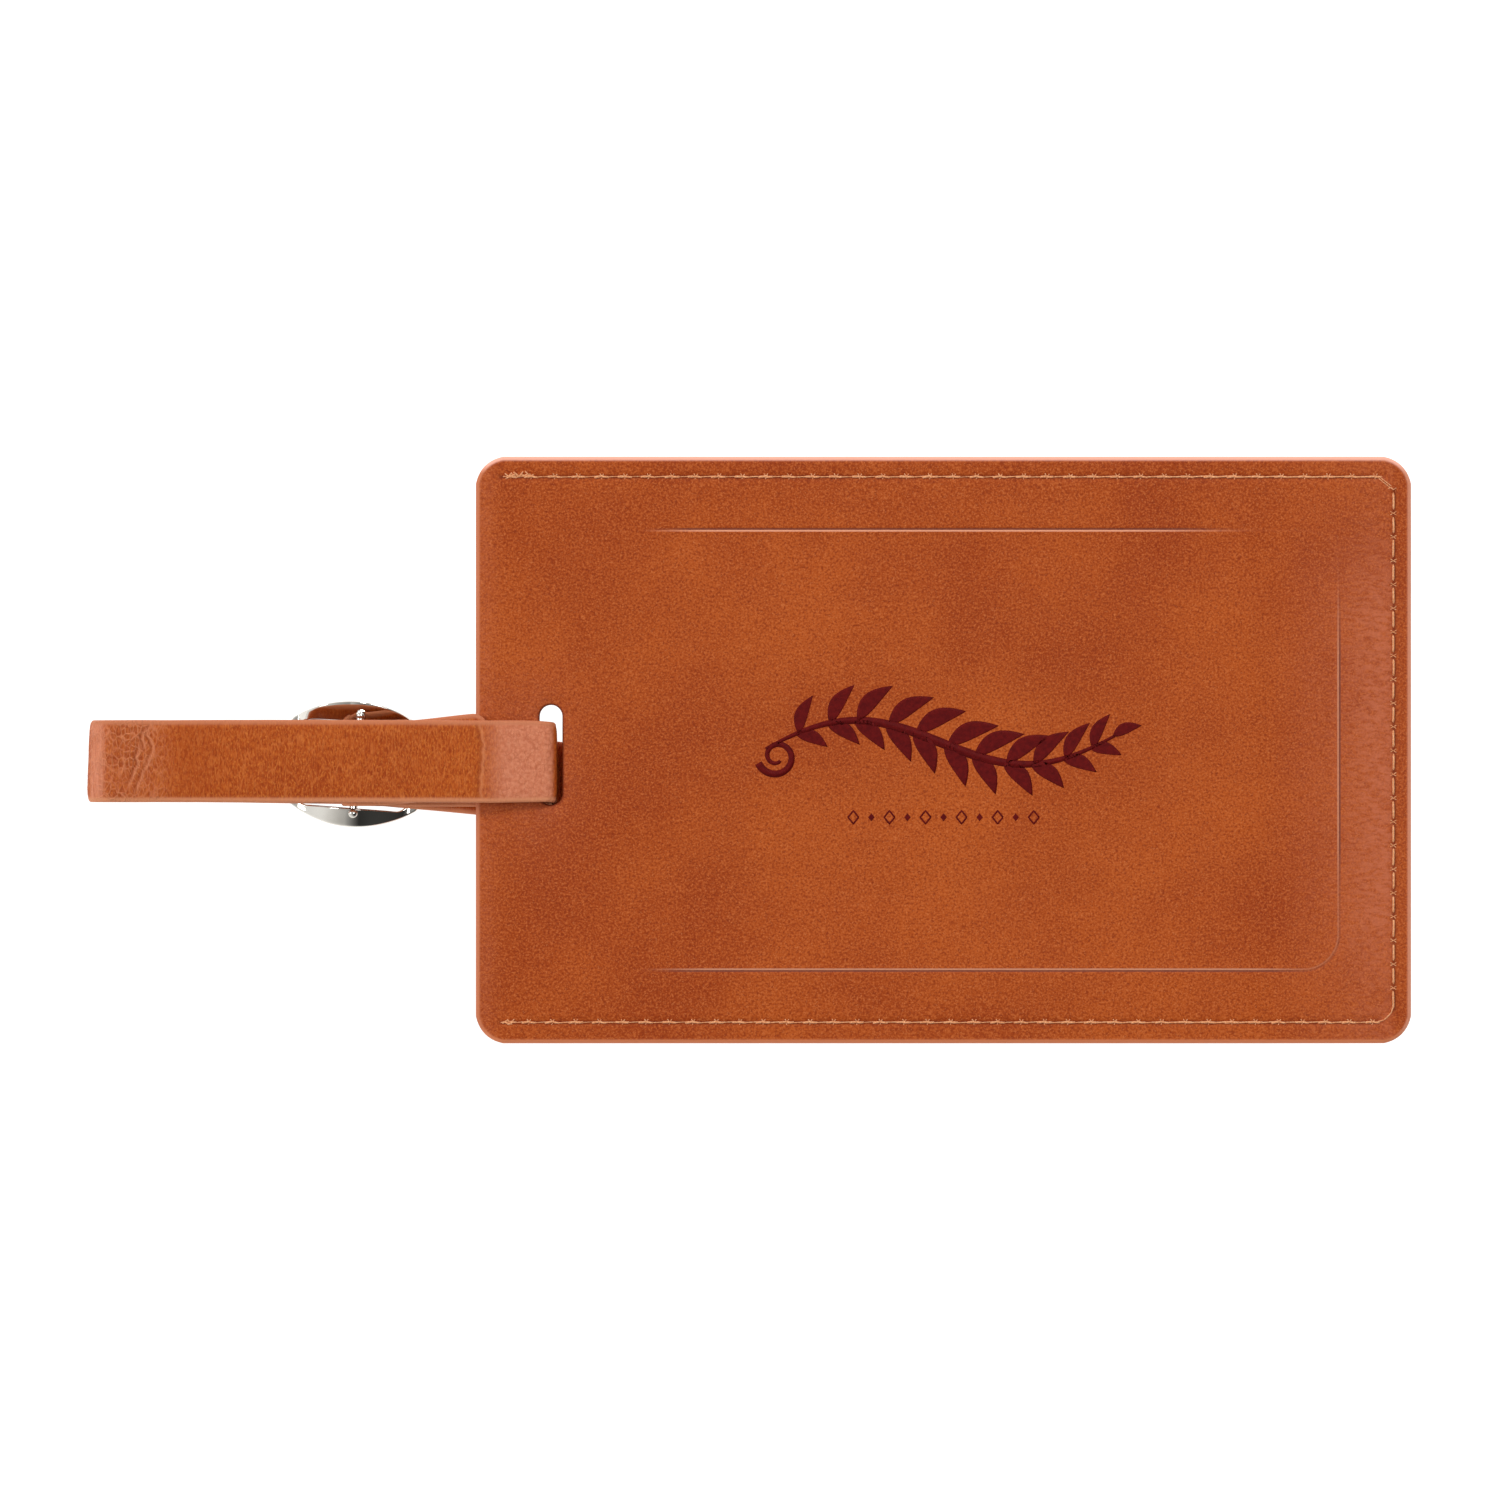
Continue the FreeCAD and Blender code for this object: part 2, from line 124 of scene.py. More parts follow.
# ------------------------------------------------------------------ a plate with a rounded outline and, if asked, the slot
def plate(name, x0, x1, y0, y1, r, flat, xs, ys, depths, ztop, zbot, block=None,
          walls=3, wall_bulge=0.0, arc=10):
    """xs and ys run over the rectangle inset by r; depths are distances from the outline, from r down to 0.
    ztop and zbot take (x, y, distance from outline, distance from slot)."""
    nx, ny = len(xs), len(ys)
    gx, gy = np.meshgrid(xs, ys, indexing="ij")
    P = [np.stack([gx.ravel(), gy.ravel()], 1)]
    D = [np.full(nx * ny, 99.0)]
    H = [np.full(nx * ny, 99.0)]
    gid = lambda i, j: i * ny + j
    entries = []                              # (grid vertex, direction)
    sides = (
        ([(i, 0) for i in range(nx)], (0, -1)), ([(nx - 1, j) for j in range(ny)], (1, 0)),
        ([(i, ny - 1) for i in range(nx - 1, -1, -1)], (0, 1)),
        ([(0, j) for j in range(ny - 1, -1, -1)], (-1, 0)))
    for k, (side, nrm) in enumerate(sides):
        for i, j in side:
            entries.append((gid(i, j), np.array(nrm, float)))
        a0 = math.atan2(nrm[1], nrm[0])
        for m in range(1, arc):
            t = m / arc * math.pi / 2
            chord = math.cos(math.pi / 4) / math.cos(t - math.pi / 4)
            rho = 1 - flat * (1 - chord)
            entries.append((entries[-1][0] if m == 1 else entries[-1][0],
                            rho * np.array([math.cos(a0 + t), math.sin(a0 + t)])))
    base = np.array([e[0] for e in entries])
    dirs = np.array([e[1] for e in entries])
    L = len(entries)
    start = nx * ny
    faces = []
    loops = [base]
    for d in depths[1:]:
        P.append(P[0][base] + dirs * (r - d))
        D.append(np.full(L, d))
        H.append(np.full(L, 99.0))
        loops.append(np.arange(start, start + L))
        start += L
    # distance from the outline for the grid too, roughly
    D[0] = np.minimum.reduce([gx.ravel() - x0, x1 - gx.ravel(), gy.ravel() - y0, y1 - gy.ravel()])
    for k in range(len(loops) - 1):
        a, b = loops[k], loops[k + 1]
        for m in range(L):
            n = (m + 1) % L
            q = [a[m], b[m], b[n], a[n]]
            if a[m] == a[n]:
                q = [a[m], b[m], b[n]]
            faces.append(q)
    skip = None
    hole_loop = None
    if block:
        bi0, bi1 = int(np.argmin(abs(xs - block[0]))), int(np.argmin(abs(xs - block[1])))
        bj0, bj1 = int(np.argmin(abs(ys - block[2]))), int(np.argmin(abs(ys - block[3])))
        skip = (bi0, bi1, bj0, bj1)
        ring = ([gid(i, bj0) for i in range(bi0, bi1)] + [gid(bi1, j) for j in range(bj0, bj1)]
                + [gid(i, bj1) for i in range(bi1, bi0, -1)] + [gid(bi0, j) for j in range(bj1, bj0, -1)])
        outer = P[0][ring]
        c0, c1 = SLOT_Y0 + SLOT_HW, SLOT_Y1 - SLOT_HW
        centre = np.stack([np.full(len(ring), SLOT_X), np.clip(outer[:, 1], c0, c1)], 1)
        away = outer - centre
        inner = centre + away / np.linalg.norm(away, axis=1)[:, None] * SLOT_HW
        prev = np.array(ring)
        gap = np.linalg.norm(outer - inner, axis=1)
        for h in (0.72, 0.5, 0.34, 0.22, 0.14, 0.09, 0.055, 0.03, 0.012, 0.0):
            P.append(inner + (outer - inner) * h)
            D.append(np.full(len(ring), 99.0))
            H.append(gap * h)
            now = np.arange(start, start + len(ring))
            start += len(ring)
            for m in range(len(ring)):
                n = (m + 1) % len(ring)
                faces.append([prev[m], prev[n], now[n], now[m]])
            prev = now
        hole_loop = prev
    for i in range(nx - 1):
        for j in range(ny - 1):
            if skip and skip[0] <= i < skip[1] and skip[2] <= j < skip[3]:
                continue
            faces.append([gid(i, j), gid(i + 1, j), gid(i + 1, j + 1), gid(i, j + 1)])
    P, D, H = np.concatenate(P), np.concatenate(D), np.concatenate(H)
    n = len(P)
    zt, zb = ztop(P[:, 0], P[:, 1], D, H), zbot(P[:, 0], P[:, 1], D, H)
    V = np.concatenate([np.column_stack([P, zt]), np.column_stack([P, zb])])
    dist = np.concatenate([D, D])
    hd = np.concatenate([H, H])
    F = [f for f in faces] + [[i + n for i in f][::-1] for f in faces]
    extra, extra_d, extra_h = [], [], []

    def wall(loop, outward, dvalue, hvalue):
        nonlocal F
        prev = np.array(loop)
        bottom = prev + n
        count = len(V) + len(extra)
        m = len(loop)
        for w in range(1, walls + 1):
            t = w / (walls + 1)
            p = V[loop] * (1 - t) + V[bottom] * t
            p = p + outward * (wall_bulge * math.sin(math.pi * t))
            now = np.arange(count, count + m)
            count += m
            extra.extend(p.tolist())
            extra_d.extend([dvalue] * m)
            extra_h.extend([hvalue] * m)
            F += [[prev[q], now[q], now[(q + 1) % m], prev[(q + 1) % m]] for q in range(m)]
            prev = now
        F += [[prev[q], bottom[q], bottom[(q + 1) % m], prev[(q + 1) % m]] for q in range(m)]

    out3 = np.column_stack([dirs / np.linalg.norm(dirs, axis=1)[:, None], np.zeros(L)])
    wall(loops[-1], out3, 0.0, 99.0)
    if hole_loop is not None:
        wall(hole_loop[::-1], np.zeros((len(hole_loop), 3)), 99.0, 0.0)
    V = np.concatenate([V, np.array(extra)])
    dist = np.concatenate([dist, extra_d])
    hd = np.concatenate([hd, extra_h])
    # drop vertices inside the slot block that no face uses
    used = np.zeros(len(V), bool)
    for f in F:
        used[list(f)] = True
    remap = np.cumsum(used) - 1
    F = [[remap[i] for i in f] for f in F]
    V, dist, hd = V[used], dist[used], hd[used]
    # rim marks the outer rim for edge colour with painted highlight; lip marks the slot's walls and lip for painted
    # shade
    rim = 1 - step01(dist, 0.30, 0.62)
    lip = 1 - step01(hd, 0.05, 0.32)
    return make_mesh(name, V, F, attrs={"rim": rim, "lip": lip})


def rounding(d, r):
    """How far a rounded rim has dropped at distance d from the outline."""
    k = np.clip(r - np.asarray(d, float), 0, r)
    return r - np.sqrt(np.maximum(r * r - k * k, 0))


# ------------------------------------------------------------------ stitch places
def stitch_spots():
    """(x, y, angle, kind) of each stitch's middle, along the top, right and bottom rows."""
    out = []
    n_top = 37
    for i in range(n_top):
        out.append((-28.6 + 1.6 + i * PITCH, ROW_TOP, 0.0, "h"))
    for i in range(n_top):
        out.append((-28.9 + 1.6 + i * PITCH, ROW_BOT, 0.0, "h"))
    for i in range(22):
        y = 29.25 - i * 2.79
        if y > -30.4:
            out.append((ROW_RIGHT, y, math.pi / 2, "v"))
    return out


SPOTS = stitch_spots()
HOLES = []
for sx, sy, ang, kind in SPOTS:
    h = PITCH / 2
    HOLES.append((sx + h * math.cos(ang), sy + h * math.sin(ang)))
HOLES = np.array(HOLES)


def press_distance(x, y):
    """Distance to the pressed U line, and its strength along the line."""
    ax = x - (PRESS_X1 - PRESS_R)
    ay = np.abs(y) - (PRESS_Y - PRESS_R)
    corner = (ax > 0) & (ay > 0)
    d_c = np.abs(np.hypot(ax, ay) - PRESS_R)
    d_h = np.abs(np.abs(y) - PRESS_Y)
    d_v = np.abs(x - PRESS_X1)
    d = np.where(corner, d_c, np.where(ay > 0, d_h, np.where(ax > 0, d_v, np.minimum(d_h, d_v))))
    inside = np.where(corner, np.hypot(ax, ay) < PRESS_R, (np.abs(y) < PRESS_Y) & (x < PRESS_X1))
    top = y > 0
    along_h = step01(x, -13.5, -3.0) * np.where(top, 1 - 0.97 * step01(x, 44, 60), 1 - 0.45 * step01(x, 60, 66))
    along_v = np.where(top, 0.05 + 0.70 * (1 - step01(y, 8, 21)), 0.75 - 0.30 * step01(-y, 8, 18))
    s = np.where(corner, np.where(top, 0.03, 0.45), np.where(ay > 0, along_h, along_v))
    return d, s, inside


def front_z(x, y, d, h):
    pd, ps, inside = press_distance(x, y)
    z = np.full(np.shape(x), FRONT_Z1)
    signed = np.where(inside, -pd, pd)
    z = z - 0.13 * ps * np.exp(-(((signed - 0.06) / 0.15) ** 2))   # the pressed line
    z = z + 0.045 * ps * np.exp(-(((signed + 0.30) / 0.22) ** 2))  # its raised inner shoulder
    z = z - 0.30 * step01(x, 69.6, 77.6)                            # margins fall away to the edges
    z = z - 0.10 * step01(np.abs(y), 26.5, 34.4)
    z = z - 0.16 * (1 - step01(x, -32.2, -24.5)) * np.exp(-((y + 1.4) / 9.0) ** 2)
    z = z + 0.035 * noise2(x / 14 + 3, y / 11 + 3, 11, 2) + 0.010 * noise2(x / 3.1, y / 3.1, 12, 2)
    row = np.minimum(np.abs(y - ROW_TOP), np.abs(y - ROW_BOT))
    row = np.where((x > -29.6) & (x < 75.0), row, 9.0)
    col = np.where(np.abs(y) < 30.6, np.abs(x - ROW_RIGHT), 9.0)
    z = z - 0.10 * np.exp(-((np.minimum(row, col) / 0.42) ** 2))
    z = z - 0.14 * np.exp(-((h / 0.9) ** 2)) * (h < 9)
    near = (row < 1.2) | (col < 1.2)
    if near.any():
        idx = np.nonzero(near)[0]
        for k in range(0, len(idx), 4000):
            q = idx[k:k + 4000]
            dd = ((x[q][:, None] - HOLES[:, 0]) ** 2 + (y[q][:, None] - HOLES[:, 1]) ** 2).min(1)
            z[q] -= 0.10 * np.exp(-dd / 0.30 ** 2)
    z = z - rounding(d, 0.55) - rounding(h, 0.28)
    return z


def board_area(x, y):
    """1 where the stiffener board lies between the two panels."""
    return step01(x, -18.6, -18.0) * (1 - step01(x, 74.0, 74.5)) * (1 - step01(np.abs(y), 30.8, 31.2))


EDGE_DEPTHS = [3.2, 3.05, 2.85, 2.7, 2.58, 2.46, 2.36, 2.26, 2.16, 2.06, 1.95, 1.82, 1.65, 1.4, 1.1, 0.85,
               0.68, 0.55, 0.44, 0.34, 0.25, 0.17, 0.10, 0.05, 0.015, 0.0]

# ------------------------------------------------------------------ the two panels
BLOCK = (-26.8, -19.9, -9.4, 8.2)
xs = lines(TAG_X0 + CORNER_R, (BLOCK[0], 0.4), (BLOCK[1], 0.36), (65.4, 0.46), (69.9, 0.125), (TAG_X1 - CORNER_R, 0.36))
ys = lines(-TAG_Y + CORNER_R, (-26.4, 0.36), (-22.2, 0.125), (BLOCK[2], 0.46), (BLOCK[3], 0.40), (22.2, 0.46),
           (26.4, 0.125), (TAG_Y - CORNER_R, 0.36))
front = plate("front_panel_skin", TAG_X0, TAG_X1, -TAG_Y, TAG_Y, CORNER_R, 0.22, xs, ys, EDGE_DEPTHS,
              front_z, lambda x, y, d, h: MEET_Z + 0.02 + rounding(d, 0.12) + 0.27 * board_area(x, y), BLOCK, walls=4)


def back_z(x, y, d, h):
    z = np.full(np.shape(x), BACK_Z0)
    z = z + rounding(d, 0.5) + rounding(h, 0.28)
    row = np.minimum(np.abs(y - ROW_TOP), np.abs(y - ROW_BOT))
    row = np.where((x > -29.6) & (x < 75.0), row, 9.0)
    col = np.where(np.abs(y) < 30.6, np.abs(x - ROW_RIGHT), 9.0)
    z = z + 0.09 * np.exp(-((np.minimum(row, col) / 0.42) ** 2))
    z = z + 0.010 * noise2(x / 3.3 + 1, y / 3.3, 17, 2)
    return z


xb = lines(TAG_X0 + CORNER_R, (BLOCK[0], 0.6), (BLOCK[1], 0.5), (TAG_X1 - CORNER_R, 0.9))
yb = lines(-TAG_Y + CORNER_R, (BLOCK[2], 0.9), (BLOCK[3], 0.6), (TAG_Y - CORNER_R, 0.9))
back = plate("back_panel_skin", TAG_X0, TAG_X1, -TAG_Y, TAG_Y, CORNER_R, 0.22, xb, yb, EDGE_DEPTHS,
             lambda x, y, d, h: MEET_Z - 0.02 - rounding(d, 0.12) - 0.27 * board_area(x, y), back_z, BLOCK, walls=4)


# ------------------------------------------------------------------ thread
def tube(points, radius, sides=10, twist=None):
    """Closed tube through points; twist adds two strands' bulges."""
    pts = np.asarray(points, float)
    t = np.gradient(pts, axis=0)
    t /= np.linalg.norm(t, axis=1)[:, None]
    ref = np.array([0.0, 0.0, 1.0])
    if abs(t[:, 2]).max() > 0.95:
        mean = pts[-1] - pts[0]
        ref = np.cross(mean, [0, 0, 1.0])
        ref /= max(np.linalg.norm(ref), 1e-9)
    side = np.cross(t, ref)
    side /= np.linalg.norm(side, axis=1)[:, None]
    up = np.cross(side, t)
    along = np.concatenate([[0], np.cumsum(np.linalg.norm(np.diff(pts, axis=0), axis=1))])
    rad = np.broadcast_to(np.asarray(radius, float), (len(pts),))
    V, F = [], []
    for i in range(len(pts)):
        for k in range(sides):
            a = 2 * math.pi * k / sides
            rr = rad[i]
            if twist:
                rr *= 0.86 + 0.16 * abs(math.cos(a - along[i] * twist))
            V.append(pts[i] + rr * (math.cos(a) * side[i] + math.sin(a) * up[i]))
    for i in range(len(pts) - 1):
        for k in range(sides):
            m = (k + 1) % sides
            F.append([i * sides + k, i * sides + m, (i + 1) * sides + m, (i + 1) * sides + k])
    n = len(V)
    V.append(pts[0]); V.append(pts[-1])
    for k in range(sides):
        m = (k + 1) % sides
        F.append([n, m, k])
        F.append([n + 1, (len(pts) - 1) * sides + k, (len(pts) - 1) * sides + m])
    return V, F


def join(parts):
    V, F, k = [], [], 0
    for v, f in parts:
        V += [list(p) for p in v]
        F += [[i + k for i in q] for q in f]
        k += len(v)
    return V, F


def stitch(x, y, ang, length, z_of, face, r=0.17, dive=0.35, lean=0.0):
    """A thread that comes out of one hole, lies on the leather and dives into the next."""
    pts, n = [], 15
    for i in range(n):
        t = i / (n - 1)
        u = (t - 0.5) * length
        px = x + u * math.cos(ang) - lean * u * math.sin(ang)
        py = y + u * math.sin(ang) + lean * u * math.cos(ang)
        z = float(z_of(np.array([px]), np.array([py]))[0])
        arch = 1 - abs(2 * t - 1) ** 5
        pts.append((px, py, z + face * (-dive * (1 - arch) + (r * 0.75) * arch)))
    return tube(pts, r, 9, twist=5.5)


far = lambda x: np.full(np.shape(x), 9.0)
front_at = lambda x, y: front_z(np.asarray(x, float), np.asarray(y, float), far(x) + 90, far(x) + 90)
back_at = lambda x, y: back_z(np.asarray(x, float), np.asarray(y, float), far(x) + 90, far(x) + 90)

parts_t = []
jit = np.random.default_rng(3)
for sx, sy, ang, kind in SPOTS:
    j = jit.uniform(-1, 1, 4)
    if kind == "h":
        parts_t.append(stitch(sx + 0.05 * j[0], sy + 0.03 * j[1], ang, 2.66 + 0.06 * j[2], front_at, 1,
                              r=(0.058 if sx < 40 else 0.085) + 0.015 * j[0], dive=0.26, lean=0.05 + 0.03 * j[3]))
        # the thread fans out where it comes up beside each hole
        hx = sx + PITCH / 2
        parts_t.append(stitch(hx - 0.10 + 0.03 * j[1], sy + 0.17, math.radians(118 + 10 * j[2]), 0.50, front_at, 1,
                              r=0.062, dive=0.12))
        parts_t.append(stitch(hx + 0.12, sy + 0.16 + 0.02 * j[0], math.radians(58 + 12 * j[3]), 0.46, front_at, 1,
                              r=0.058, dive=0.12))
        parts_t.append(stitch(hx - 0.34, sy + 0.01, math.radians(5 + 7 * j[3]), 1.02 + 0.12 * j[1], front_at, 1,
                              r=0.138 + 0.014 * j[2], dive=0.16))
        parts_t.append(stitch(hx + 0.34, sy - 0.02, math.radians(-4 + 6 * j[0]), 0.90 + 0.15 * j[3], front_at, 1,
                              r=0.125 + 0.012 * j[0], dive=0.16))
        parts_t.append(stitch(hx - 0.03, sy - 0.17, math.radians(78 + 18 * j[0]), 0.30, front_at, 1,
                              r=0.05, dive=0.10))
    else:
        parts_t.append(stitch(sx + 0.02 * j[0], sy + 0.05 * j[1], ang, 2.05 + 0.14 * j[2], front_at, 1,
                              r=0.130, dive=0.30, lean=0.03 * j[3]))
        for a in (28, -34, 150, 205):
            parts_t.append(stitch(sx + 0.20 * math.cos(math.radians(a)), sy + PITCH / 2 + 0.2 * math.sin(math.radians(a)),
                                  math.radians(a + 8 * j[3]), 0.42, front_at, 1, r=0.052, dive=0.12))
# corner stitches and the back-tacks where each row starts
for dx, dy in ((0.0, 0.0), (0.16, 0.15)):
    parts_t.append(stitch(74.62 + dx, 31.40 + dy, math.radians(-39), 2.15, front_at, 1, r=0.06, dive=0.2))
parts_t.append(stitch(75.62, 30.62, math.radians(-55), 0.5, front_at, 1, r=0.06, dive=0.12))
parts_t.append(stitch(75.30, 30.80, math.radians(12), 0.55, front_at, 1, r=0.055, dive=0.12))
for a in (-72, -45, -18):
    parts_t.append(stitch(73.35 + 2.35 * math.cos(math.radians(a)), -29.70 + 2.30 * math.sin(math.radians(a)),
                          math.radians(a + 90), 1.15, front_at, 1, r=0.085, dive=0.16))
for k in range(15):
    bx = -28.95 + 0.13 * k + 0.9 * max(0, k - 7) / 7
    parts_t.append(stitch(bx + 0.4, 32.16 + 0.13 * math.sin(2.6 * k) + 0.015 * k, math.radians((6, -38, 26, 52, -14, 18, -50)[k % 7]),
                          0.92 - 0.03 * (k % 4), front_at, 1, r=0.072 + 0.012 * (k % 3), dive=0.16))
for k in range(8):
    bx = -29.25 + 0.16 * k
    parts_t.append(stitch(bx + 0.4, -32.0 + 0.10 * math.sin(2.2 * k), math.radians((4, 34, -28, 12, -46, 20, 55, -8)[k]),
                          0.85, front_at, 1, r=0.074 + 0.012 * (k % 3), dive=0.16))
V, F = join(parts_t)
needle = make_mesh("needle_stitches", V, F)

parts_b = []
for sx, sy, ang, kind in SPOTS:
    j = jit.uniform(-1, 1, 3)
    parts_b.append(stitch(sx, sy, ang, 2.5 + 0.06 * j[0], back_at, -1, r=0.15, dive=0.30, lean=0.02 * j[1]))
parts_b.append(stitch(74.55, 31.42, math.radians(-47), 2.35, back_at, -1, r=0.14, dive=0.28))
parts_b.append(stitch(74.75, -31.35, math.radians(43), 2.2, back_at, -1, r=0.14, dive=0.28))
V, F = join(parts_b)
bobbin = make_mesh("bobbin_stitches", V, F)


# ------------------------------------------------------------------ strap: one strip along its whole route
def route(corners, step=0.14):
    """Points along straight runs joined by arcs, in X-Z, from (x, z, bend radius)."""
    pts = np.array([[c[0], c[1]] for c in corners], float)
    out = []
    here = pts[0]
    for i in range(1, len(pts) - 1):
        r = corners[i][2]
        d0 = (pts[i] - pts[i - 1]) / np.linalg.norm(pts[i] - pts[i - 1])
        d1 = (pts[i + 1] - pts[i]) / np.linalg.norm(pts[i + 1] - pts[i])
        turn = math.acos(max(-1, min(1, float(d0 @ d1))))
        if turn < 1e-5:
            continue
        cut = r * math.tan(turn / 2)
        a, b = pts[i] - d0 * cut, pts[i] + d1 * cut
        n = max(1, int(np.linalg.norm(a - here) / step))
        out += [here + (a - here) * k / n for k in range(n)]
        s = 1.0 if d0[0] * d1[1] - d0[1] * d1[0] > 0 else -1.0
        centre = a + s * r * np.array([-d0[1], d0[0]])
        n = max(3, int(r * turn / step))
        a0 = math.atan2(a[1] - centre[1], a[0] - centre[0])
        out += [centre + r * np.array([math.cos(a0 + s * turn * k / n), math.sin(a0 + s * turn * k / n)])
                for k in range(n)]
        here = b
    n = max(1, int(np.linalg.norm(pts[-1] - here) / step))
    out += [here + (pts[-1] - here) * k / n for k in range(n + 1)]
    return np.array(out)


T = 1.0
segments = [
    # flap tip back to the bar, round it, and under the tag
    (-30.45, 5.60, 0), (-36.0, 5.58, 6.0), (-41.0, 5.25, 8.0), (-47.7, 5.25, 1.5), (-47.7, 2.25, 1.5),
    (-44.4, 2.25, 3.0), (-41.4, 3.26, 2.6), (-38.5, 3.26, 2.6), (-34.8, 1.97, 2.6),
    # below the tag to the slot, up through it, and over the tag's edge
    (-23.12, 1.95, 0.9), (-23.12, 5.66, 0.92), (-31.0, 6.63, 2.2), (-42.0, 6.52, 14.0), (-61.0, 6.18, 20.0),
    # left bend and the tail back through the buckle
    (-77.32, 6.20, 2.84), (-77.32, 0.5, 2.84), (-64.5, 0.5, 10.0), (-55.4, 2.02, 5.0), (-52.3, 2.02, 3.5),
    (-49.0, 1.18, 3.5), (-44.0, 1.18, 3.5), (-41.1, 2.02, 2.6), (-38.5, 2.02, 2.6), (-34.8, 0.85, 2.6),
    (-17.6, 0.85, 0)]
line = route(segments)
seg = np.linalg.norm(np.diff(line, axis=0), axis=1)
keep = np.concatenate([[True], seg > 1e-4])
line = line[keep]
s_along = np.concatenate([[0], np.cumsum(np.linalg.norm(np.diff(line, axis=0), axis=1))])
S = s_along[-1]
# even spacing
ns = int(S / 0.16)
s_even = np.linspace(0, S, ns)
lx, lz = np.interp(s_even, s_along, line[:, 0]), np.interp(s_even, s_along, line[:, 1])
for _ in range(3):                                   # soften the joins between runs and arcs
    lx[1:-1] = (lx[:-2] + 2 * lx[1:-1] + lx[2:]) / 4
    lz[1:-1] = (lz[:-2] + 2 * lz[1:-1] + lz[2:]) / 4


def s_at(x, z):
    return s_even[int(np.argmin((lx - x) ** 2 + (lz - z) ** 2))]


s_bar_top, s_bar, s_slot_low, s_slot = s_at(-46.2, 5.25), s_at(-47.7, 3.75), s_at(-24.0, 1.95), s_at(-23.12, 5.0)
s_crease, s_bend0, s_bend1 = s_at(-31.0, 6.6), s_at(-74.5, 6.2), s_at(-74.5, 0.5)
s_bend = s_at(-77.32, 3.35)
s_buckle, s_tail_right = s_at(-46.2, 1.18), s_at(-38.5, 2.02)
keys = [(0, -1.75 + 0.0857 * (-30.45 + 46.2)), (s_bar_top, -1.75), (s_bar, -1.76), (s_at(-40.0, 3.26), -1.82),
        (s_slot_low - 4, -1.84), (s_slot_low, -1.78), (s_slot, -1.44), (s_crease, -1.36), (s_at(-55, 6.3), -1.30),
        (s_bend, -1.32), (s_at(-64, 0.5), -1.36), (s_buckle - 5, -1.50), (s_buckle, -1.60),
        (s_tail_right, -2.18), (S, -1.62 - 0.108 * (46.2 - 17.6) + 0.3)]
kx, ky = np.array([k[0] for k in keys]), np.array([k[1] for k in keys])


def smooth_curve(x, kx, ky):
    """Monotone-ish cubic through the keys."""
    m = np.gradient(ky, kx)
    i = np.clip(np.searchsorted(kx, x) - 1, 0, len(kx) - 2)
    h = kx[i + 1] - kx[i]
    t = (x - kx[i]) / h
    return ((2 * t**3 - 3 * t**2 + 1) * ky[i] + (t**3 - 2 * t**2 + t) * h * m[i]
            + (-2 * t**3 + 3 * t**2) * ky[i + 1] + (t**3 - t**2) * h * m[i + 1])


ly = smooth_curve(s_even, kx, ky)
centre = np.column_stack([lx, ly, lz])
tan = np.gradient(centre, axis=0)
tan /= np.linalg.norm(tan, axis=1)[:, None]
wide = np.array([0, 1.0, 0]) - tan * tan[:, 1:2]
# the fold line at the left bend leans a little, so the bend is skewed
lean = 0.033 * np.exp(-(((s_even - s_bend) / 4.5) ** 2))
wide = wide + np.column_stack([lean, np.zeros(ns), np.zeros(ns)])
# make the across direction unit length again
wide /= np.linalg.norm(wide, axis=1)[:, None]
nrm = np.cross(wide, tan)
nrm /= np.linalg.norm(nrm, axis=1)[:, None]
# nrm points to the strap's outer (show) face: up on the front run
if nrm[int(np.argmin(abs(s_even - s_at(-55, 6.3))))][2] < 0:
    nrm = -nrm
half_w = np.full(ns, 4.84) + 0.03 * noise2(s_even / 6.0, s_even * 0, 21, 2)
half_w -= 0.10 * np.exp(-(((s_even - s_slot) / 2.2) ** 2))
half_w -= 0.06 * np.exp(-(((s_even - (s_slot - 2)) / 3.0) ** 2))


def end_shrink(dist, r):
    """How much narrower each side is at this distance from a rounded end."""
    k = np.clip(r - dist, 0, r)
    return r - np.sqrt(np.maximum(r * r - k * k, 0))


half_w = half_w - end_shrink(s_even, 1.7) - end_shrink(S - s_even, 3.6)

# cross-section: flat faces with a slight crown and round edges
nf, ne = 34, 9
sec = []                                             # (v across from -1 to 1, offset along the normal, kind)
er = 0.40
vf = np.linspace(-1, 1, nf)
section = []
for v in vf:
    section.append((v, +1, 0.0))
for k in range(1, ne):
    a = math.pi / 2 - math.pi * k / ne
    section.append((1.0, 0, a))
for v in vf[::-1]:
    section.append((v, -1, 0.0))
for k in range(1, ne):
    a = -math.pi / 2 - math.pi * k / ne
    section.append((-1.0, 0, a))
nsec = len(section)
edge_r = 0.46
V = np.zeros((ns, nsec, 3))
vv = np.zeros((ns, nsec))
edge = np.zeros((ns, nsec))
curv = step01(s_even, s_bend - 12.5, s_bend - 7.0) * (1 - step01(s_even, s_bend + 3, s_bend + 8))   # near the left bend
near_slot = np.exp(-(((s_even - (s_slot + 1.0)) / 3.0) ** 2))
# fold lines in the show face, as (x, across) points: three by the left bend, one where the strap starts to dip
FOLDS = [((-70.3, 4.4), (-70.6, 3.0), (-69.8, 1.7), (-70.4, -0.1), (-71.1, -1.4), (-71.9, -3.6)),
         ((-71.5, 1.8), (-71.8, 0.6), (-71.7, -0.4), (-72.3, -1.8), (-72.7, -2.9)),
         ((-70.8, 4.0), (-71.2, 2.5), (-70.7, 1.3))]
PRESS_FOLD = ((-31.6, 4.7), (-31.55, 4.1), (-31.1, 2.0), (-31.2, 0.3), (-31.4, -2.1), (-31.5, -4.6))


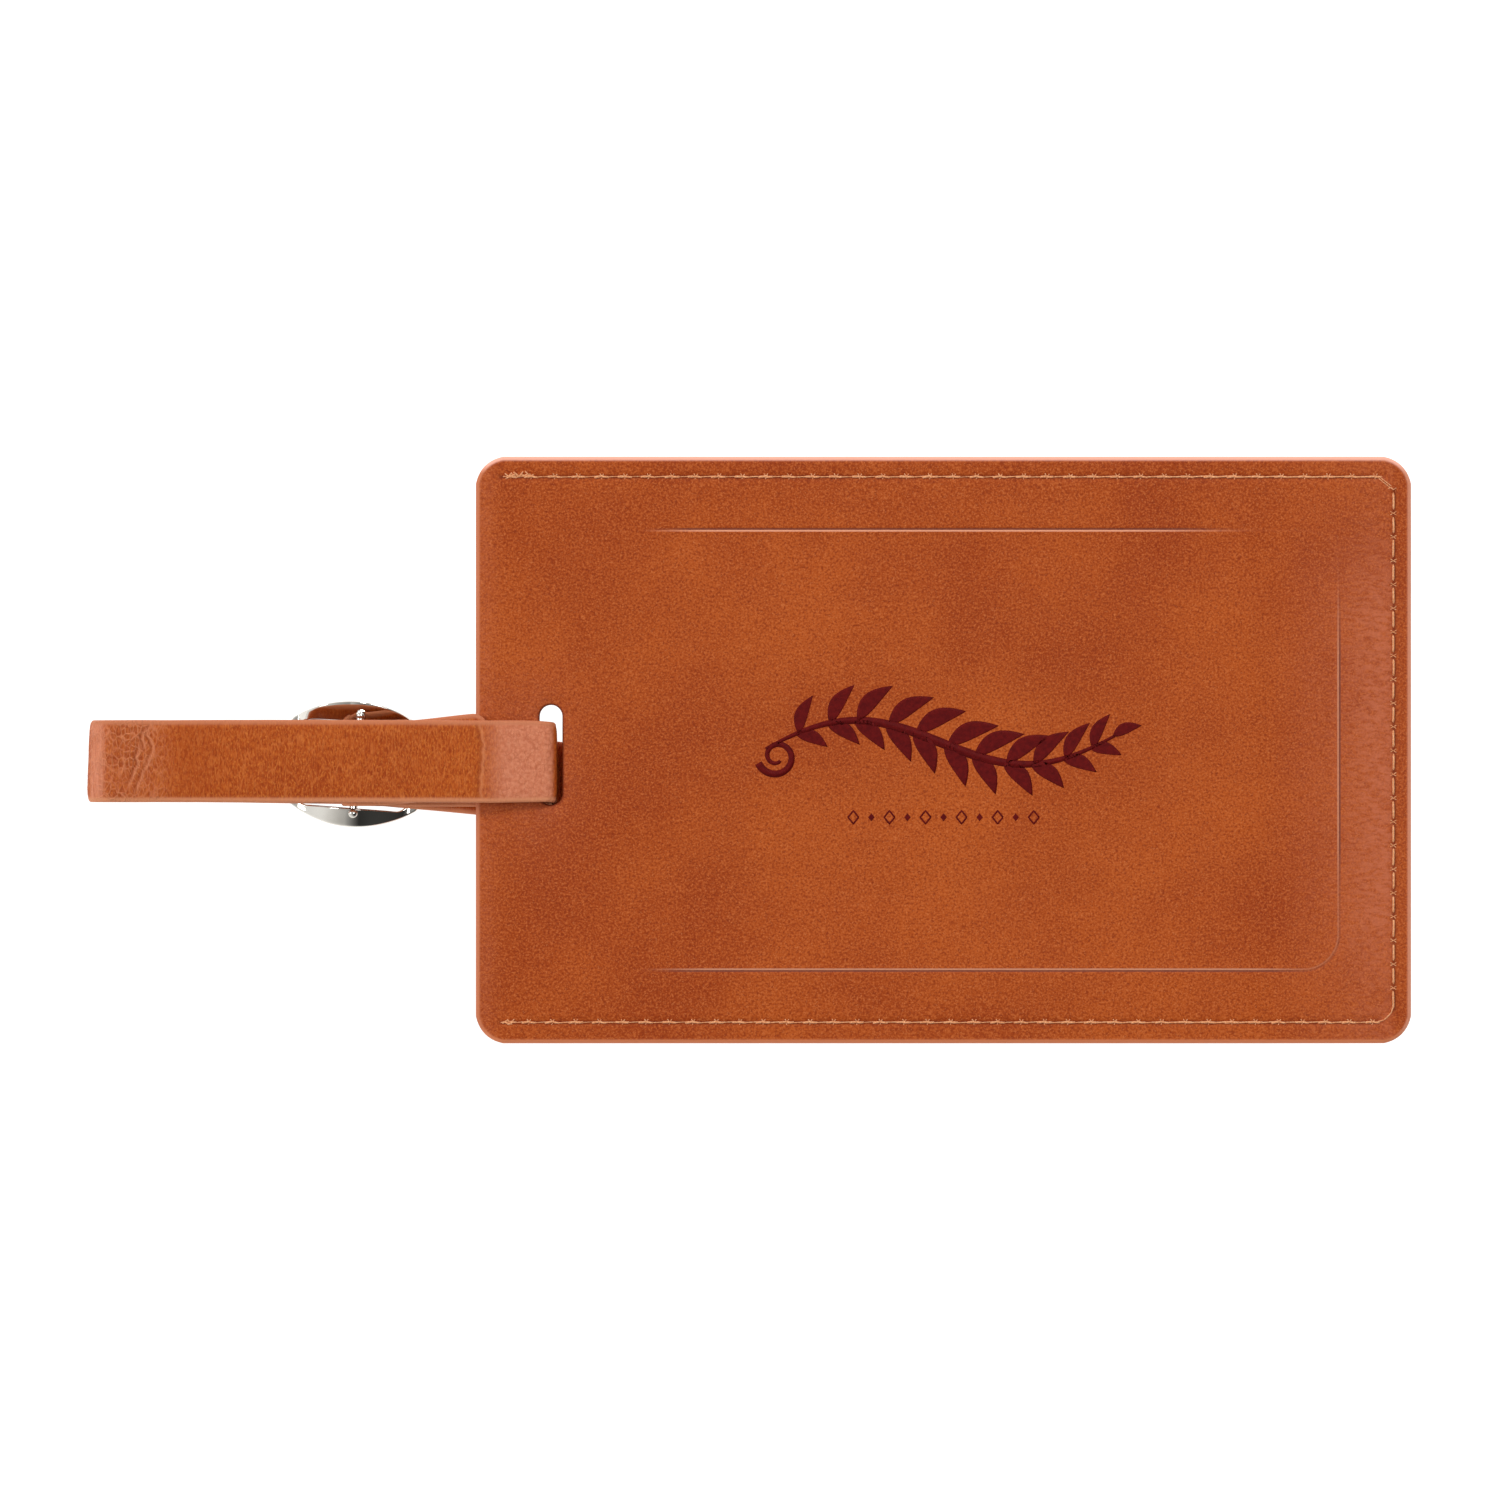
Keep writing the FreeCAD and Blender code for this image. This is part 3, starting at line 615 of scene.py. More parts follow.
def fold_lines(x, q, lines, width):
    """How close a point of the show face is to one of the fold lines, from 0 to 1."""
    best = np.zeros(np.broadcast(x, q).shape)
    for pts in lines:
        pts = sorted(pts, key=lambda p: p[1])
        px, pq = np.array([p[0] for p in pts]), np.array([p[1] for p in pts])
        ends = step01(q, pq[0] - 0.3, pq[0] + 0.5) * (1 - step01(q, pq[-1] - 0.5, pq[-1] + 0.3))
        wave = 0.07 * np.sin(q * 4.1 + px[0])
        best = np.maximum(best, ends * np.exp(-(((x - np.interp(q, pq, px) - wave) / width) ** 2)))
    return best
for k, (v, face, a) in enumerate(section):
    hw = np.maximum(half_w - edge_r * 0.9, 0.05)
    thin = np.clip(half_w / 1.0, 0.15, 1.0)
    if face:
        across = v * hw
        drop = 0.11 * np.abs(v) ** 9 + 0.03 * v * v
        off = face * (T / 2 - drop) * thin
        e = step01(np.abs(across) - (hw - 0.34), 0.0, 0.42)
    else:
        across = np.sign(v) * (hw + edge_r * 0.9 * abs(math.cos(a)))
        off = np.full(ns, math.sin(a) * (T / 2 - 0.14)) * thin
        e = np.ones(ns)
    if face > 0:                                     # wrinkles and grain on the show face
        q = across
        w1 = noise2(s_even / 0.70 + 0.25 * q + 0.5 * noise2(s_even / 1.5, q / 1.3, 41), q / 2.2 + 7, 31, 2)
        ridge = 1 - np.abs(w1) * 2.2
        off = off + 0.040 * curv * np.clip(ridge, 0, 1) ** 2
        off = off + 0.040 * curv * noise2(s_even / 1.6, q / 2.2, 33, 2)
        off = off + 0.026 * noise2(s_even / 0.8 + 0.2 * np.sin(q), q / 3.5, 35, 3)
        up = lz > 4.5
        off = off + 0.050 * up * fold_lines(lx, q, FOLDS, 0.15)
        off = off - 0.055 * up * fold_lines(lx + 0.26, q, FOLDS, 0.20)
        off = off + 0.030 * up * fold_lines(lx, q, [PRESS_FOLD], 0.20)
        off = off - 0.045 * up * fold_lines(lx + 0.30, q, [PRESS_FOLD], 0.28)
        off = off - 0.030 * near_slot * np.clip(1 - np.abs(noise2(s_even / 0.8 + 0.3 * q, q / 2.4, 37)) * 3, 0, 1)
    V[:, k] = centre + wide * across[:, None] + nrm * off[:, None]
    vv[:, k] = across
    edge[:, k] = e
faces = []
for i in range(ns - 1):
    a, b = i * nsec, (i + 1) * nsec
    for k in range(nsec):
        m = (k + 1) % nsec
        faces.append((a + k, a + m, b + m, b + k))
faces.append(tuple(range(nsec))[::-1])
faces.append(tuple((ns - 1) * nsec + k for k in range(nsec)))
uv = np.stack([np.repeat(s_even[:, None], nsec, 1), vv + 10], -1).reshape(-1, 2) / 100.0
bendmask = np.repeat(curv[:, None], nsec, 1)
slotmask = np.repeat(near_slot[:, None], nsec, 1)
strap = make_mesh("strap", V.reshape(-1, 3), faces,
                  attrs={"edge": edge.ravel(), "bend": bendmask.ravel(), "nearslot": slotmask.ravel()}, uv=uv)
bpy.context.view_layer.update()
me = strap.data
import bmesh
bm = bmesh.new()
bm.from_mesh(me)
bmesh.ops.recalc_face_normals(bm, faces=bm.faces)
bm.to_mesh(me)
bm.free()


def cutter(name, x, y, z, r, depth, squash_x=1.0, spin=0.0):
    bm = bmesh.new()
    bmesh.ops.create_cone(bm, cap_ends=True, segments=48, radius1=r * MM, radius2=r * MM, depth=depth * MM)
    me = bpy.data.meshes.new(name)
    bm.to_mesh(me)
    bm.free()
    ob = bpy.data.objects.new(name, me)
    ob.location = (x * MM, y * MM, z * MM)
    ob.scale = (squash_x, 1, 1)
    ob.rotation_euler = (0, spin, 0)
    bpy.context.scene.collection.objects.link(ob)
    return ob


def cut(ob, tools):
    for t in tools:
        m = ob.modifiers.new("cut", "BOOLEAN")
        m.operation, m.solver, m.object = "DIFFERENCE", "EXACT", t
    bpy.context.view_layer.update()
    dg = bpy.context.evaluated_depsgraph_get()
    new = bpy.data.meshes.new_from_object(ob.evaluated_get(dg), preserve_all_data_layers=True, depsgraph=dg)
    ob.modifiers.clear()
    old = ob.data
    ob.data = new
    for t in tools:
        bpy.data.objects.remove(t)
    return ob


holes = [cutter("c%d" % i, -50.5 - 8.0 * i, -1.5, 0.9, 1.3, 3.4) for i in (0, 1, 2)]
holes[0].location.z = 1.6 * MM
holes[0].scale = (1.08, 1.0, 1.0)
holes.append(cutter("c3", -42.5, -1.7, 1.4, 1.3, 1.7))
fold_cut = cutter("c4", -46.4, -1.70, 3.75, 1.05, 5.0, squash_x=2.1)
cut(strap, holes + [fold_cut])
strap.data.polygons.foreach_set("use_smooth", [True] * len(strap.data.polygons))

# ------------------------------------------------------------------ buckle: arched ring with rounded edges
HX, HY, SX, SY, EY, FCX = 7.94, 7.42, 7.35, 5.2, 4.3, -0.4
IX, IY, IR = 6.5, 5.40, 1.3


def arc3(p0, p1, p2, n):
    (ax, ay), (bx, by), (cx, cy) = p0, p1, p2
    d = 2 * (ax * (by - cy) + bx * (cy - ay) + cx * (ay - by))
    ux = ((ax * ax + ay * ay) * (by - cy) + (bx * bx + by * by) * (cy - ay) + (cx * cx + cy * cy) * (ay - by)) / d
    uy = ((ax * ax + ay * ay) * (cx - bx) + (bx * bx + by * by) * (ax - cx) + (cx * cx + cy * cy) * (bx - ax)) / d
    r = math.hypot(ax - ux, ay - uy)
    a0, a2 = math.atan2(ay - uy, ax - ux), math.atan2(cy - uy, cx - ux)
    d = (a2 - a0 + math.pi) % (2 * math.pi) - math.pi
    return [(ux + r * math.cos(a0 + d * k / n), uy + r * math.sin(a0 + d * k / n)) for k in range(n)]


def straight(p0, p1, n):
    return [(p0[0] + (p1[0] - p0[0]) * k / n, p0[1] + (p1[1] - p0[1]) * k / n) for k in range(n)]


outer = (arc3((SX, -SY), (HX - 0.14, -(SY + EY) / 2 - 0.06), (HX, -EY), 8) + straight((HX, -EY), (HX, EY), 30)
         + arc3((HX, EY), (HX - 0.14, (SY + EY) / 2 + 0.06), (SX, SY), 8) + arc3((SX, SY), (0, HY), (-SX, SY), 60)
         + arc3((-SX, SY), (-HX + 0.14, (SY + EY) / 2 + 0.06), (-HX, EY), 8) + straight((-HX, EY), (-HX, -EY), 30)
         + arc3((-HX, -EY), (-HX + 0.14, -(SY + EY) / 2 - 0.06), (-SX, -SY), 8)
         + arc3((-SX, -SY), (0, -HY), (SX, -SY), 60))
outer = np.array(outer)
for _ in range(2):
    outer = (np.roll(outer, 1, 0) + 2 * outer + np.roll(outer, -1, 0)) / 4
inner = []
for k in range(4):
    cx, cy = [(IX - IR, -IY + IR), (IX - IR, IY - IR), (-IX + IR, IY - IR), (-IX + IR, -IY + IR)][k]
    a0 = [-math.pi / 2, 0, math.pi / 2, math.pi][k]
    inner += [(cx + IR * math.cos(a0 + t * math.pi / 24), cy + IR * math.sin(a0 + t * math.pi / 24)) for t in range(13)]
inner = np.array(inner)
inner[:, 1] = np.where(inner[:, 1] > 0, inner[:, 1] * (5.0 + 0.035 * inner[:, 0]) / IY, inner[:, 1] * 5.15 / IY)


def ray(outline, ang):
    """Point of a star-shaped outline in a direction."""
    p, q = outline, np.roll(outline, -1, 0)
    u = np.array([math.cos(ang), math.sin(ang)])
    best = None
    for a, b in zip(p, q):
        e = b - a
        den = u[0] * -e[1] + u[1] * e[0]
        if abs(den) < 1e-12:
            continue
        s = (a[0] * -e[1] + a[1] * e[0]) / den
        t = (u[0] * a[1] - u[1] * a[0]) / den
        t = (u[1] * a[0] - u[0] * a[1]) / (u[0] * e[1] - u[1] * e[0])
        if s > 0 and -1e-9 <= t <= 1 + 1e-9:
            best = s if best is None else max(best, s)
    return u * best


def arch(x):
    u = np.abs(x)
    return np.where(u < HX - 0.9, np.cos(math.pi / 2 * np.minimum(1, u / (HX - 0.9))) ** 1.7, 0.0)


NA = 420
V, F = [], []
cross = []
for k in range(7):                                   # outer edge, round
    a = -math.pi / 2 + math.pi * k / 6
    cross.append(("o", a))
for k in range(1, 8):
    cross.append(("t", k / 8))
for k in range(7):
    a = math.pi / 2 + math.pi * k / 6
    cross.append(("i", a))
for k in range(1, 6):
    cross.append(("b", 1 - k / 6))
er = 0.20
for m in range(NA):
    ang = 2 * math.pi * m / NA
    po, pi_ = ray(outer, ang), ray(inner, ang)
    wdt = np.linalg.norm(po - pi_)
    u = (po - pi_) / wdt
    for kind, val in cross:
        if kind == "o":
            p = po - u * er * (1 - math.cos(val))
            zt = (math.sin(val))
        elif kind == "i":
            p = pi_ + u * er * (1 + math.cos(val))
            zt = (math.sin(val))
        elif kind == "t":
            p = (po - u * er) * (1 - val) + (pi_ + u * er) * val
            zt = 1.0
        else:
            p = (po - u * er) * (1 - val) + (pi_ + u * er) * val
            zt = -1.0
        f = float(arch(p[0]))
        # the top faces lean to one side, inwards on one arm and outwards on the other
        across = float(np.clip(np.dot(po - p, u) / wdt, 0, 1))
        if po[1] > 0:
            f = max(f, float(0.97 * (1 - np.clip(abs(p[0]) / 7.0, 0, 1) ** 3.2) * step01(p[1], 4.1, 4.75)))
            fall = 0.95 * across * float(1 - step01(abs(p[0]), 4.6, 6.6))
        else:
            fall = 0.42 * (1 - across)
        lo = 0.40 + (3.05 - 0.40) * f
        hi = 1.22 + (4.45 - 1.22) * f
        hi2 = hi - f * fall
        e2 = min(er, (hi2 - lo) / 2)
        mid, half = (lo + hi2) / 2, (hi2 - lo) / 2
        if abs(zt) > 0.999:
            z = mid + half * math.copysign(1, zt)
        else:
            z = mid + (half - e2) * math.copysign(1, zt) * min(1, abs(zt) * 1.6) + e2 * zt
        V.append((p[0], p[1], z))
nc = len(cross)
for m in range(NA):
    for k in range(nc):
        a, b = m * nc, ((m + 1) % NA) * nc
        q = (k + 1) % nc
        F.append([a + k, a + q, b + q, b + k])


def placed(V, yaw=YAW, cx=BAR[0], cy=BAR[1]):
    V = np.array(V, float)
    c, s = math.cos(yaw), math.sin(yaw)
    x, y = V[:, 0], V[:, 1]
    return np.column_stack([cx + c * x - s * y, cy + s * x + c * y, V[:, 2]])


V = np.array(V)
V[:, 0] += FCX
ringb = make_mesh("buckle_ring", placed(V), F)


def fix_normals(ob):
    bm = bmesh.new()
    bm.from_mesh(ob.data)
    bmesh.ops.recalc_face_normals(bm, faces=bm.faces)
    bm.to_mesh(ob.data)
    bm.free()


def dome(cx, cy, z0, r, h, n=28, m=9):
    V, F = [], []
    for i in range(m):
        a = math.pi / 2 * i / m
        for k in range(n):
            t = 2 * math.pi * k / n
            V.append((cx + r * math.cos(a) * math.cos(t), cy + r * math.cos(a) * math.sin(t), z0 + h * math.sin(a)))
    V.append((cx, cy, z0 + h))
    V.append((cx, cy, z0 - 0.25))
    for k in range(n):
        q = (k + 1) % n
        for i in range(m - 1):
            F.append([i * n + k, i * n + q, (i + 1) * n + q, (i + 1) * n + k])
        F.append([(m - 1) * n + k, (m - 1) * n + q, m * n])
        F.append([k, m * n + 1, q])
    return V, F


heads = []
for sgn in (1, -1):
    v, f = dome(0.0, sgn * 5.76, 3.72 if sgn > 0 else 4.12, 0.60, 0.66 if sgn > 0 else 0.52)
    heads.append((v, f))
V, F = join(heads)
bar_heads = make_mesh("bar_heads", placed(V), F)


# ------------------------------------------------------------------ prong: an eye round the bar and a bent, tapered tongue
prong_line = route([(-0.85, 3.50, 0), (-3.1, 3.10, 1.6), (-4.9, 0.92, 1.5), (-6.4, 0.44, 1.3), (-8.25, 0.44, 0)], 0.10)
n = len(prong_line)
tangent = np.gradient(prong_line, axis=0)
tangent /= np.linalg.norm(tangent, axis=1)[:, None]
V, F = [], []
ks = 20
for i in range(n):
    t = i / (n - 1)
    w = 0.55 * (1 - 0.30 * step01(t, 0.35, 1.0))
    h = 0.40 * (1 - 0.28 * step01(t, 0.5, 1.0))
    endr = min(1.0, math.sqrt(max(0.0, 1 - max(0.0, (t - 0.965) / 0.035) ** 2)) + 0.02)
    up = np.array([-tangent[i][1], tangent[i][0]])
    if up[1] < 0:
        up = -up
    for k in range(ks):
        a = 2 * math.pi * k / ks
        ca, sa = math.cos(a), math.sin(a)
        cx = math.copysign(abs(ca) ** 0.6, ca) * w * endr
        cz = math.copysign(abs(sa) ** 0.6, sa) * h * endr
        V.append((prong_line[i][0] + up[0] * cz, cx, prong_line[i][1] + up[1] * cz))
for i in range(n - 1):
    for k in range(ks):
        q = (k + 1) % ks
        F.append([i * ks + k, i * ks + q, (i + 1) * ks + q, (i + 1) * ks + k])
F.append(list(range(ks))[::-1])
F.append([(n - 1) * ks + k for k in range(ks)])
eye_v, eye_f = [], []
for i in range(48):
    a = 2 * math.pi * i / 48
    for k in range(16):
        b = 2 * math.pi * k / 16
        cr, cy = math.cos(b), math.sin(b)
        rad = 0.905 + 0.335 * math.copysign(abs(cr) ** 0.7, cr)
        eye_v.append((rad * math.cos(a), 0.54 * math.copysign(abs(cy) ** 0.7, cy), BAR[2] + rad * math.sin(a)))
for i in range(48):
    for k in range(16):
        j, q = (i + 1) % 48, (k + 1) % 16
        eye_f.append([i * 16 + k, i * 16 + q, j * 16 + q, j * 16 + k])
V, F = join([(V, F), (eye_v, eye_f)])
prong = make_mesh("prong_tongue", placed(V), F)

# ------------------------------------------------------------------ pocket film and card on the back
PX0, PX1, PY = -12.2, 70.6, 27.2


def pocket_d(x, y):
    ax, ay = x - (PX1 - 4.2), np.abs(y) - (PY - 4.2)
    corner = (ax > 0) & (ay > 0)
    return np.where(corner, 4.2 - np.hypot(ax, ay), np.minimum(PX1 - x, PY - np.abs(y)))


def film_low(x, y, d, h):
    dd = pocket_d(x, y)
    z = 2.19 - 0.40 * step01(dd, 1.75, 2.75)
    z = z + 0.05 * np.exp(-((dd - 1.0) / 0.32) ** 2)                     # the welded line's groove
    z = z + 0.03 * noise2(x / 16 + 2, y / 13 + 4, 51, 2) * step01(dd, 2.5, 8)
    z = z + 0.20 * step01(dd, 3, 9) * (1 - step01(np.abs(x - 29) / 41, 0.2, 1.0)) * 0.0
    return z + rounding(dd, 0.12)


def film_high(x, y, d, h):
    dd = pocket_d(x, y)
    base = film_low(x, y, d, h)
    return np.where(dd < 1.9, 2.595, base + 0.26 + 0.50 * (1 - step01(dd, 1.9, 2.3)))


film_depths = [4.2, 3.6, 3.2, 2.9, 2.7, 2.5, 2.3, 2.1, 1.95, 1.8, 1.6, 1.4, 1.2, 1.0, 0.8, 0.6, 0.4, 0.25, 0.14, 0.07,
               0.02, 0.0]
film = plate("pocket_film", PX0, PX1, -PY, PY, 4.2, 0.0, lines(PX0 + 4.2, (PX1 - 4.2, 0.8)),
             lines(-PY + 4.2, (PY - 4.2, 0.8)), film_depths, film_high, film_low, walls=2)
card = plate("paper_card", -13.0, 68.2, -24.8, 24.8, 1.2, 0.0, lines(-11.8, (67.0, 1.6)), lines(-23.6, (23.6, 1.6)),
             [1.2, 0.8, 0.5, 0.3, 0.18, 0.09, 0.03, 0.0],
             lambda x, y, d, h: 2.5 - rounding(d, 0.07), lambda x, y, d, h: 2.22 + rounding(d, 0.07), walls=2)

# ------------------------------------------------------------------ engraved motif: a leafy sprig over a row of small lozenges
def flat_patch(outline, z_of, lift=0.022, skirt=0.06):
    """A thin closed inlay from a convex-ish outline fan, lying on the leather."""
    pts = np.array(outline, float)
    c = pts.mean(0)
    V, F = [], []
    rings = (1.0, 0.8, 0.5)
    for s in rings:
        q = c + (pts - c) * s
        z = z_of(q[:, 0], q[:, 1]) + lift
        V += np.column_stack([q, z]).tolist()
    n = len(pts)
    V.append([c[0], c[1], float(z_of(c[:1], c[1:2])[0]) + lift])
    low = pts
    V += np.column_stack([low, z_of(low[:, 0], low[:, 1]) - skirt]).tolist()
    V.append([c[0], c[1], float(z_of(c[:1], c[1:2])[0]) - skirt])
    for k in range(n):
        q = (k + 1) % n
        F.append([k, q, n + q, n + k])
        F.append([n + k, n + q, 2 * n + q, 2 * n + k])
        F.append([2 * n + k, 2 * n + q, 3 * n])
        F.append([3 * n + 1 + k, 3 * n + 1 + q, q, k])
        F.append([3 * n + 1 + q, 3 * n + 1 + k, 4 * n + 1])
    return V, F


def ribbon_patch(line, width, z_of, lift=0.022, skirt=0.06):
    """A thin stroke of changing width along a line."""
    pts = np.array(line, float)
    t = np.gradient(pts, axis=0)
    t /= np.linalg.norm(t, axis=1)[:, None]
    nn = np.column_stack([-t[:, 1], t[:, 0]])
    wd = np.asarray(width, float)[:, None] / 2
    a, b = pts + nn * wd, pts - nn * wd
    V = []
    for q, dz in ((a, lift), (b, lift), (b, -skirt), (a, -skirt)):
        V += np.column_stack([q, z_of(q[:, 0], q[:, 1]) + dz]).tolist()
    n = len(pts)
    F = []
    for i in range(n - 1):
        for k in range(4):
            m = (k + 1) % 4
            F.append([k * n + i, k * n + i + 1, m * n + i + 1, m * n + i])
    F.append([0, n, 2 * n, 3 * n])
    F.append([3 * n + n - 1, 2 * n + n - 1, n + n - 1, n - 1])
    return V, F


def leaf(x, y, ang, length, width):
    out = []
    for s in (1, -1):
        rngk = range(0, 15) if s == 1 else range(13, 0, -1)
        for k in rngk:
            t = k / 14
            w = width / 2 * math.sin(math.pi * t ** 0.8) ** 0.9
            bow = 0.10 * length * math.sin(math.pi * t)
            u, v = t * length, s * w + bow
            out.append((x + u * math.cos(ang) - v * math.sin(ang), y + u * math.sin(ang) + v * math.cos(ang)))
    return out


motif = []
tt = np.linspace(0, 1, 90)
MX, MY = 22.4, 0.9
stem = np.column_stack([MX - 20.5 + 41.0 * tt, MY - 1.6 + 3.4 * np.sin(2 * math.pi * (tt * 0.92 + 0.04)) + 3.2 * tt])
motif.append(ribbon_patch(stem, 0.35 + 0.75 * np.sin(math.pi * np.clip(tt * 1.02, 0, 1)) ** 1.2, front_at))
for k, t in enumerate(np.linspace(0.10, 0.94, 11)):
    i = int(t * 89)
    d = stem[min(i + 1, 89)] - stem[i - 1]
    a = math.atan2(d[1], d[0])
    grow = 0.75 + 0.45 * math.sin(math.pi * t)
    for s in (1, -1):
        L = (5.4 if s == 1 else 4.6) * grow
        motif.append(flat_patch(leaf(stem[i][0] + 0.15 * s, stem[i][1], a + s * math.radians(47 - 10 * t), L, 1.75 * grow), front_at))
motif.append(flat_patch(leaf(stem[-1][0] - 0.2, stem[-1][1], math.radians(20), 3.6, 1.35), front_at))
curl = np.linspace(0, 1, 60)
cr = 2.3 * (1 - 0.72 * curl)
ca = math.radians(200) + curl * math.radians(470)
motif.append(ribbon_patch(np.column_stack([stem[0][0] + 1.3 + cr * np.cos(ca), stem[0][1] - 0.9 + cr * np.sin(ca)]),
                          0.9 * (1 - 0.55 * curl), front_at))
for k in range(11):
    x, y, r = MX - 10.2 + 2.12 * k, -7.9, 0.62 if k % 2 == 0 else 0.38
    ring_pts = [(x + r * 1.0 * math.cos(a), y + r * 1.25 * math.sin(a)) for a in np.linspace(0, 2 * math.pi, 5)[:-1]]
    q = []
    for a, b in zip(ring_pts, ring_pts[1:] + ring_pts[:1]):
        q += [(a[0] + (b[0] - a[0]) * t, a[1] + (b[1] - a[1]) * t) for t in np.linspace(0, 1, 7)[:-1]]
    if k % 2 == 0:
        motif.append(ribbon_patch(q + [q[0]], np.full(len(q) + 1, 0.20), front_at))
    else:
        motif.append(flat_patch(q, front_at))
V, F = join(motif)
motif_ob = make_mesh("engraved_sprig", V, F)
for ob in (front, back, needle, bobbin, ringb, bar_heads, prong, film, card, motif_ob):
    fix_normals(ob)


# ------------------------------------------------------------------ materials
class Mat:
    def __init__(self, name):
        self.m = bpy.data.materials.new(name)
        self.m.use_nodes = True
        self.t = self.m.node_tree
        self.t.nodes.clear()
        self.out = self.n("OutputMaterial")
        self.co = self.n("TexCoord")

    def n(self, kind, ins=None, **props):
        nd = self.t.nodes.new("ShaderNode" + kind)
        for k, v in props.items():
            setattr(nd, k, v)
        for k, v in (ins or {}).items():
            s = nd.inputs[k]
            if isinstance(v, bpy.types.NodeSocket):
                self.t.links.new(v, s)
            else:
                s.default_value = v
        return nd

    def vec(self, scale=(1, 1, 1), src="Object", warp=None):
        v = self.n("Mapping", {"Vector": self.co.outputs[src], "Scale": scale}).outputs[0]
        if warp:
            nz = self.n("TexNoise", {"Vector": v, "Scale": warp[0], "Detail": 1.0}).outputs["Color"]
            off = self.n("VectorMath", {0: nz, 1: (0.5, 0.5, 0.5)}, operation="SUBTRACT").outputs[0]
            off = self.n("VectorMath", {0: off, 1: (warp[1],) * 3}, operation="MULTIPLY").outputs[0]
            v = self.n("VectorMath", {0: v, 1: off}, operation="ADD").outputs[0]
        return v

    def noise(self, vec, scale, detail=2.0, rough=0.5):
        return self.n("TexNoise", {"Vector": vec, "Scale": scale, "Detail": detail, "Roughness": rough}).outputs["Fac"]

    def voro(self, vec, scale, feature="F1"):
        return self.n("TexVoronoi", {"Vector": vec, "Scale": scale}, feature=feature).outputs["Distance"]

    def rng(self, v, a, b, c=0.0, d=1.0):
        return self.n("MapRange", {"Value": v, "From Min": a, "From Max": b, "To Min": c, "To Max": d}).outputs["Result"]

    def math(self, op, a, b=0.0):
        return self.n("Math", {0: a, 1: b}, operation=op).outputs[0]

    def mix(self, fac, a, b, mode="MIX"):
        return self.n("Mix", {0: fac, 6: a, 7: b}, data_type="RGBA", blend_type=mode).outputs[2]

    def attr(self, name):
        return self.n("Attribute", attribute_name=name).outputs["Fac"]

    def bump(self, height, strength, dist, normal=None):
        ins = {"Height": height, "Strength": strength, "Distance": dist}
        if normal is not None:
            ins["Normal"] = normal
        return self.n("Bump", ins).outputs["Normal"]

    def surface(self, **ins):
        p = self.n("BsdfPrincipled")
        for k, v in ins.items():
            s = p.inputs[k.replace("_", " ")]
            if isinstance(v, bpy.types.NodeSocket):
                self.t.links.new(v, s)
            else:
                s.default_value = v
        self.t.links.new(p.outputs[0], self.out.inputs["Surface"])
        return self.m


C_BODY, C_DARK, C_LIGHT = srgb(169, 71, 16), srgb(148, 54, 8), srgb(186, 87, 26)
# pinkish colour of the painted sheen on the tag's margins
C_SHEEN_PINK = srgb(198, 110, 76)


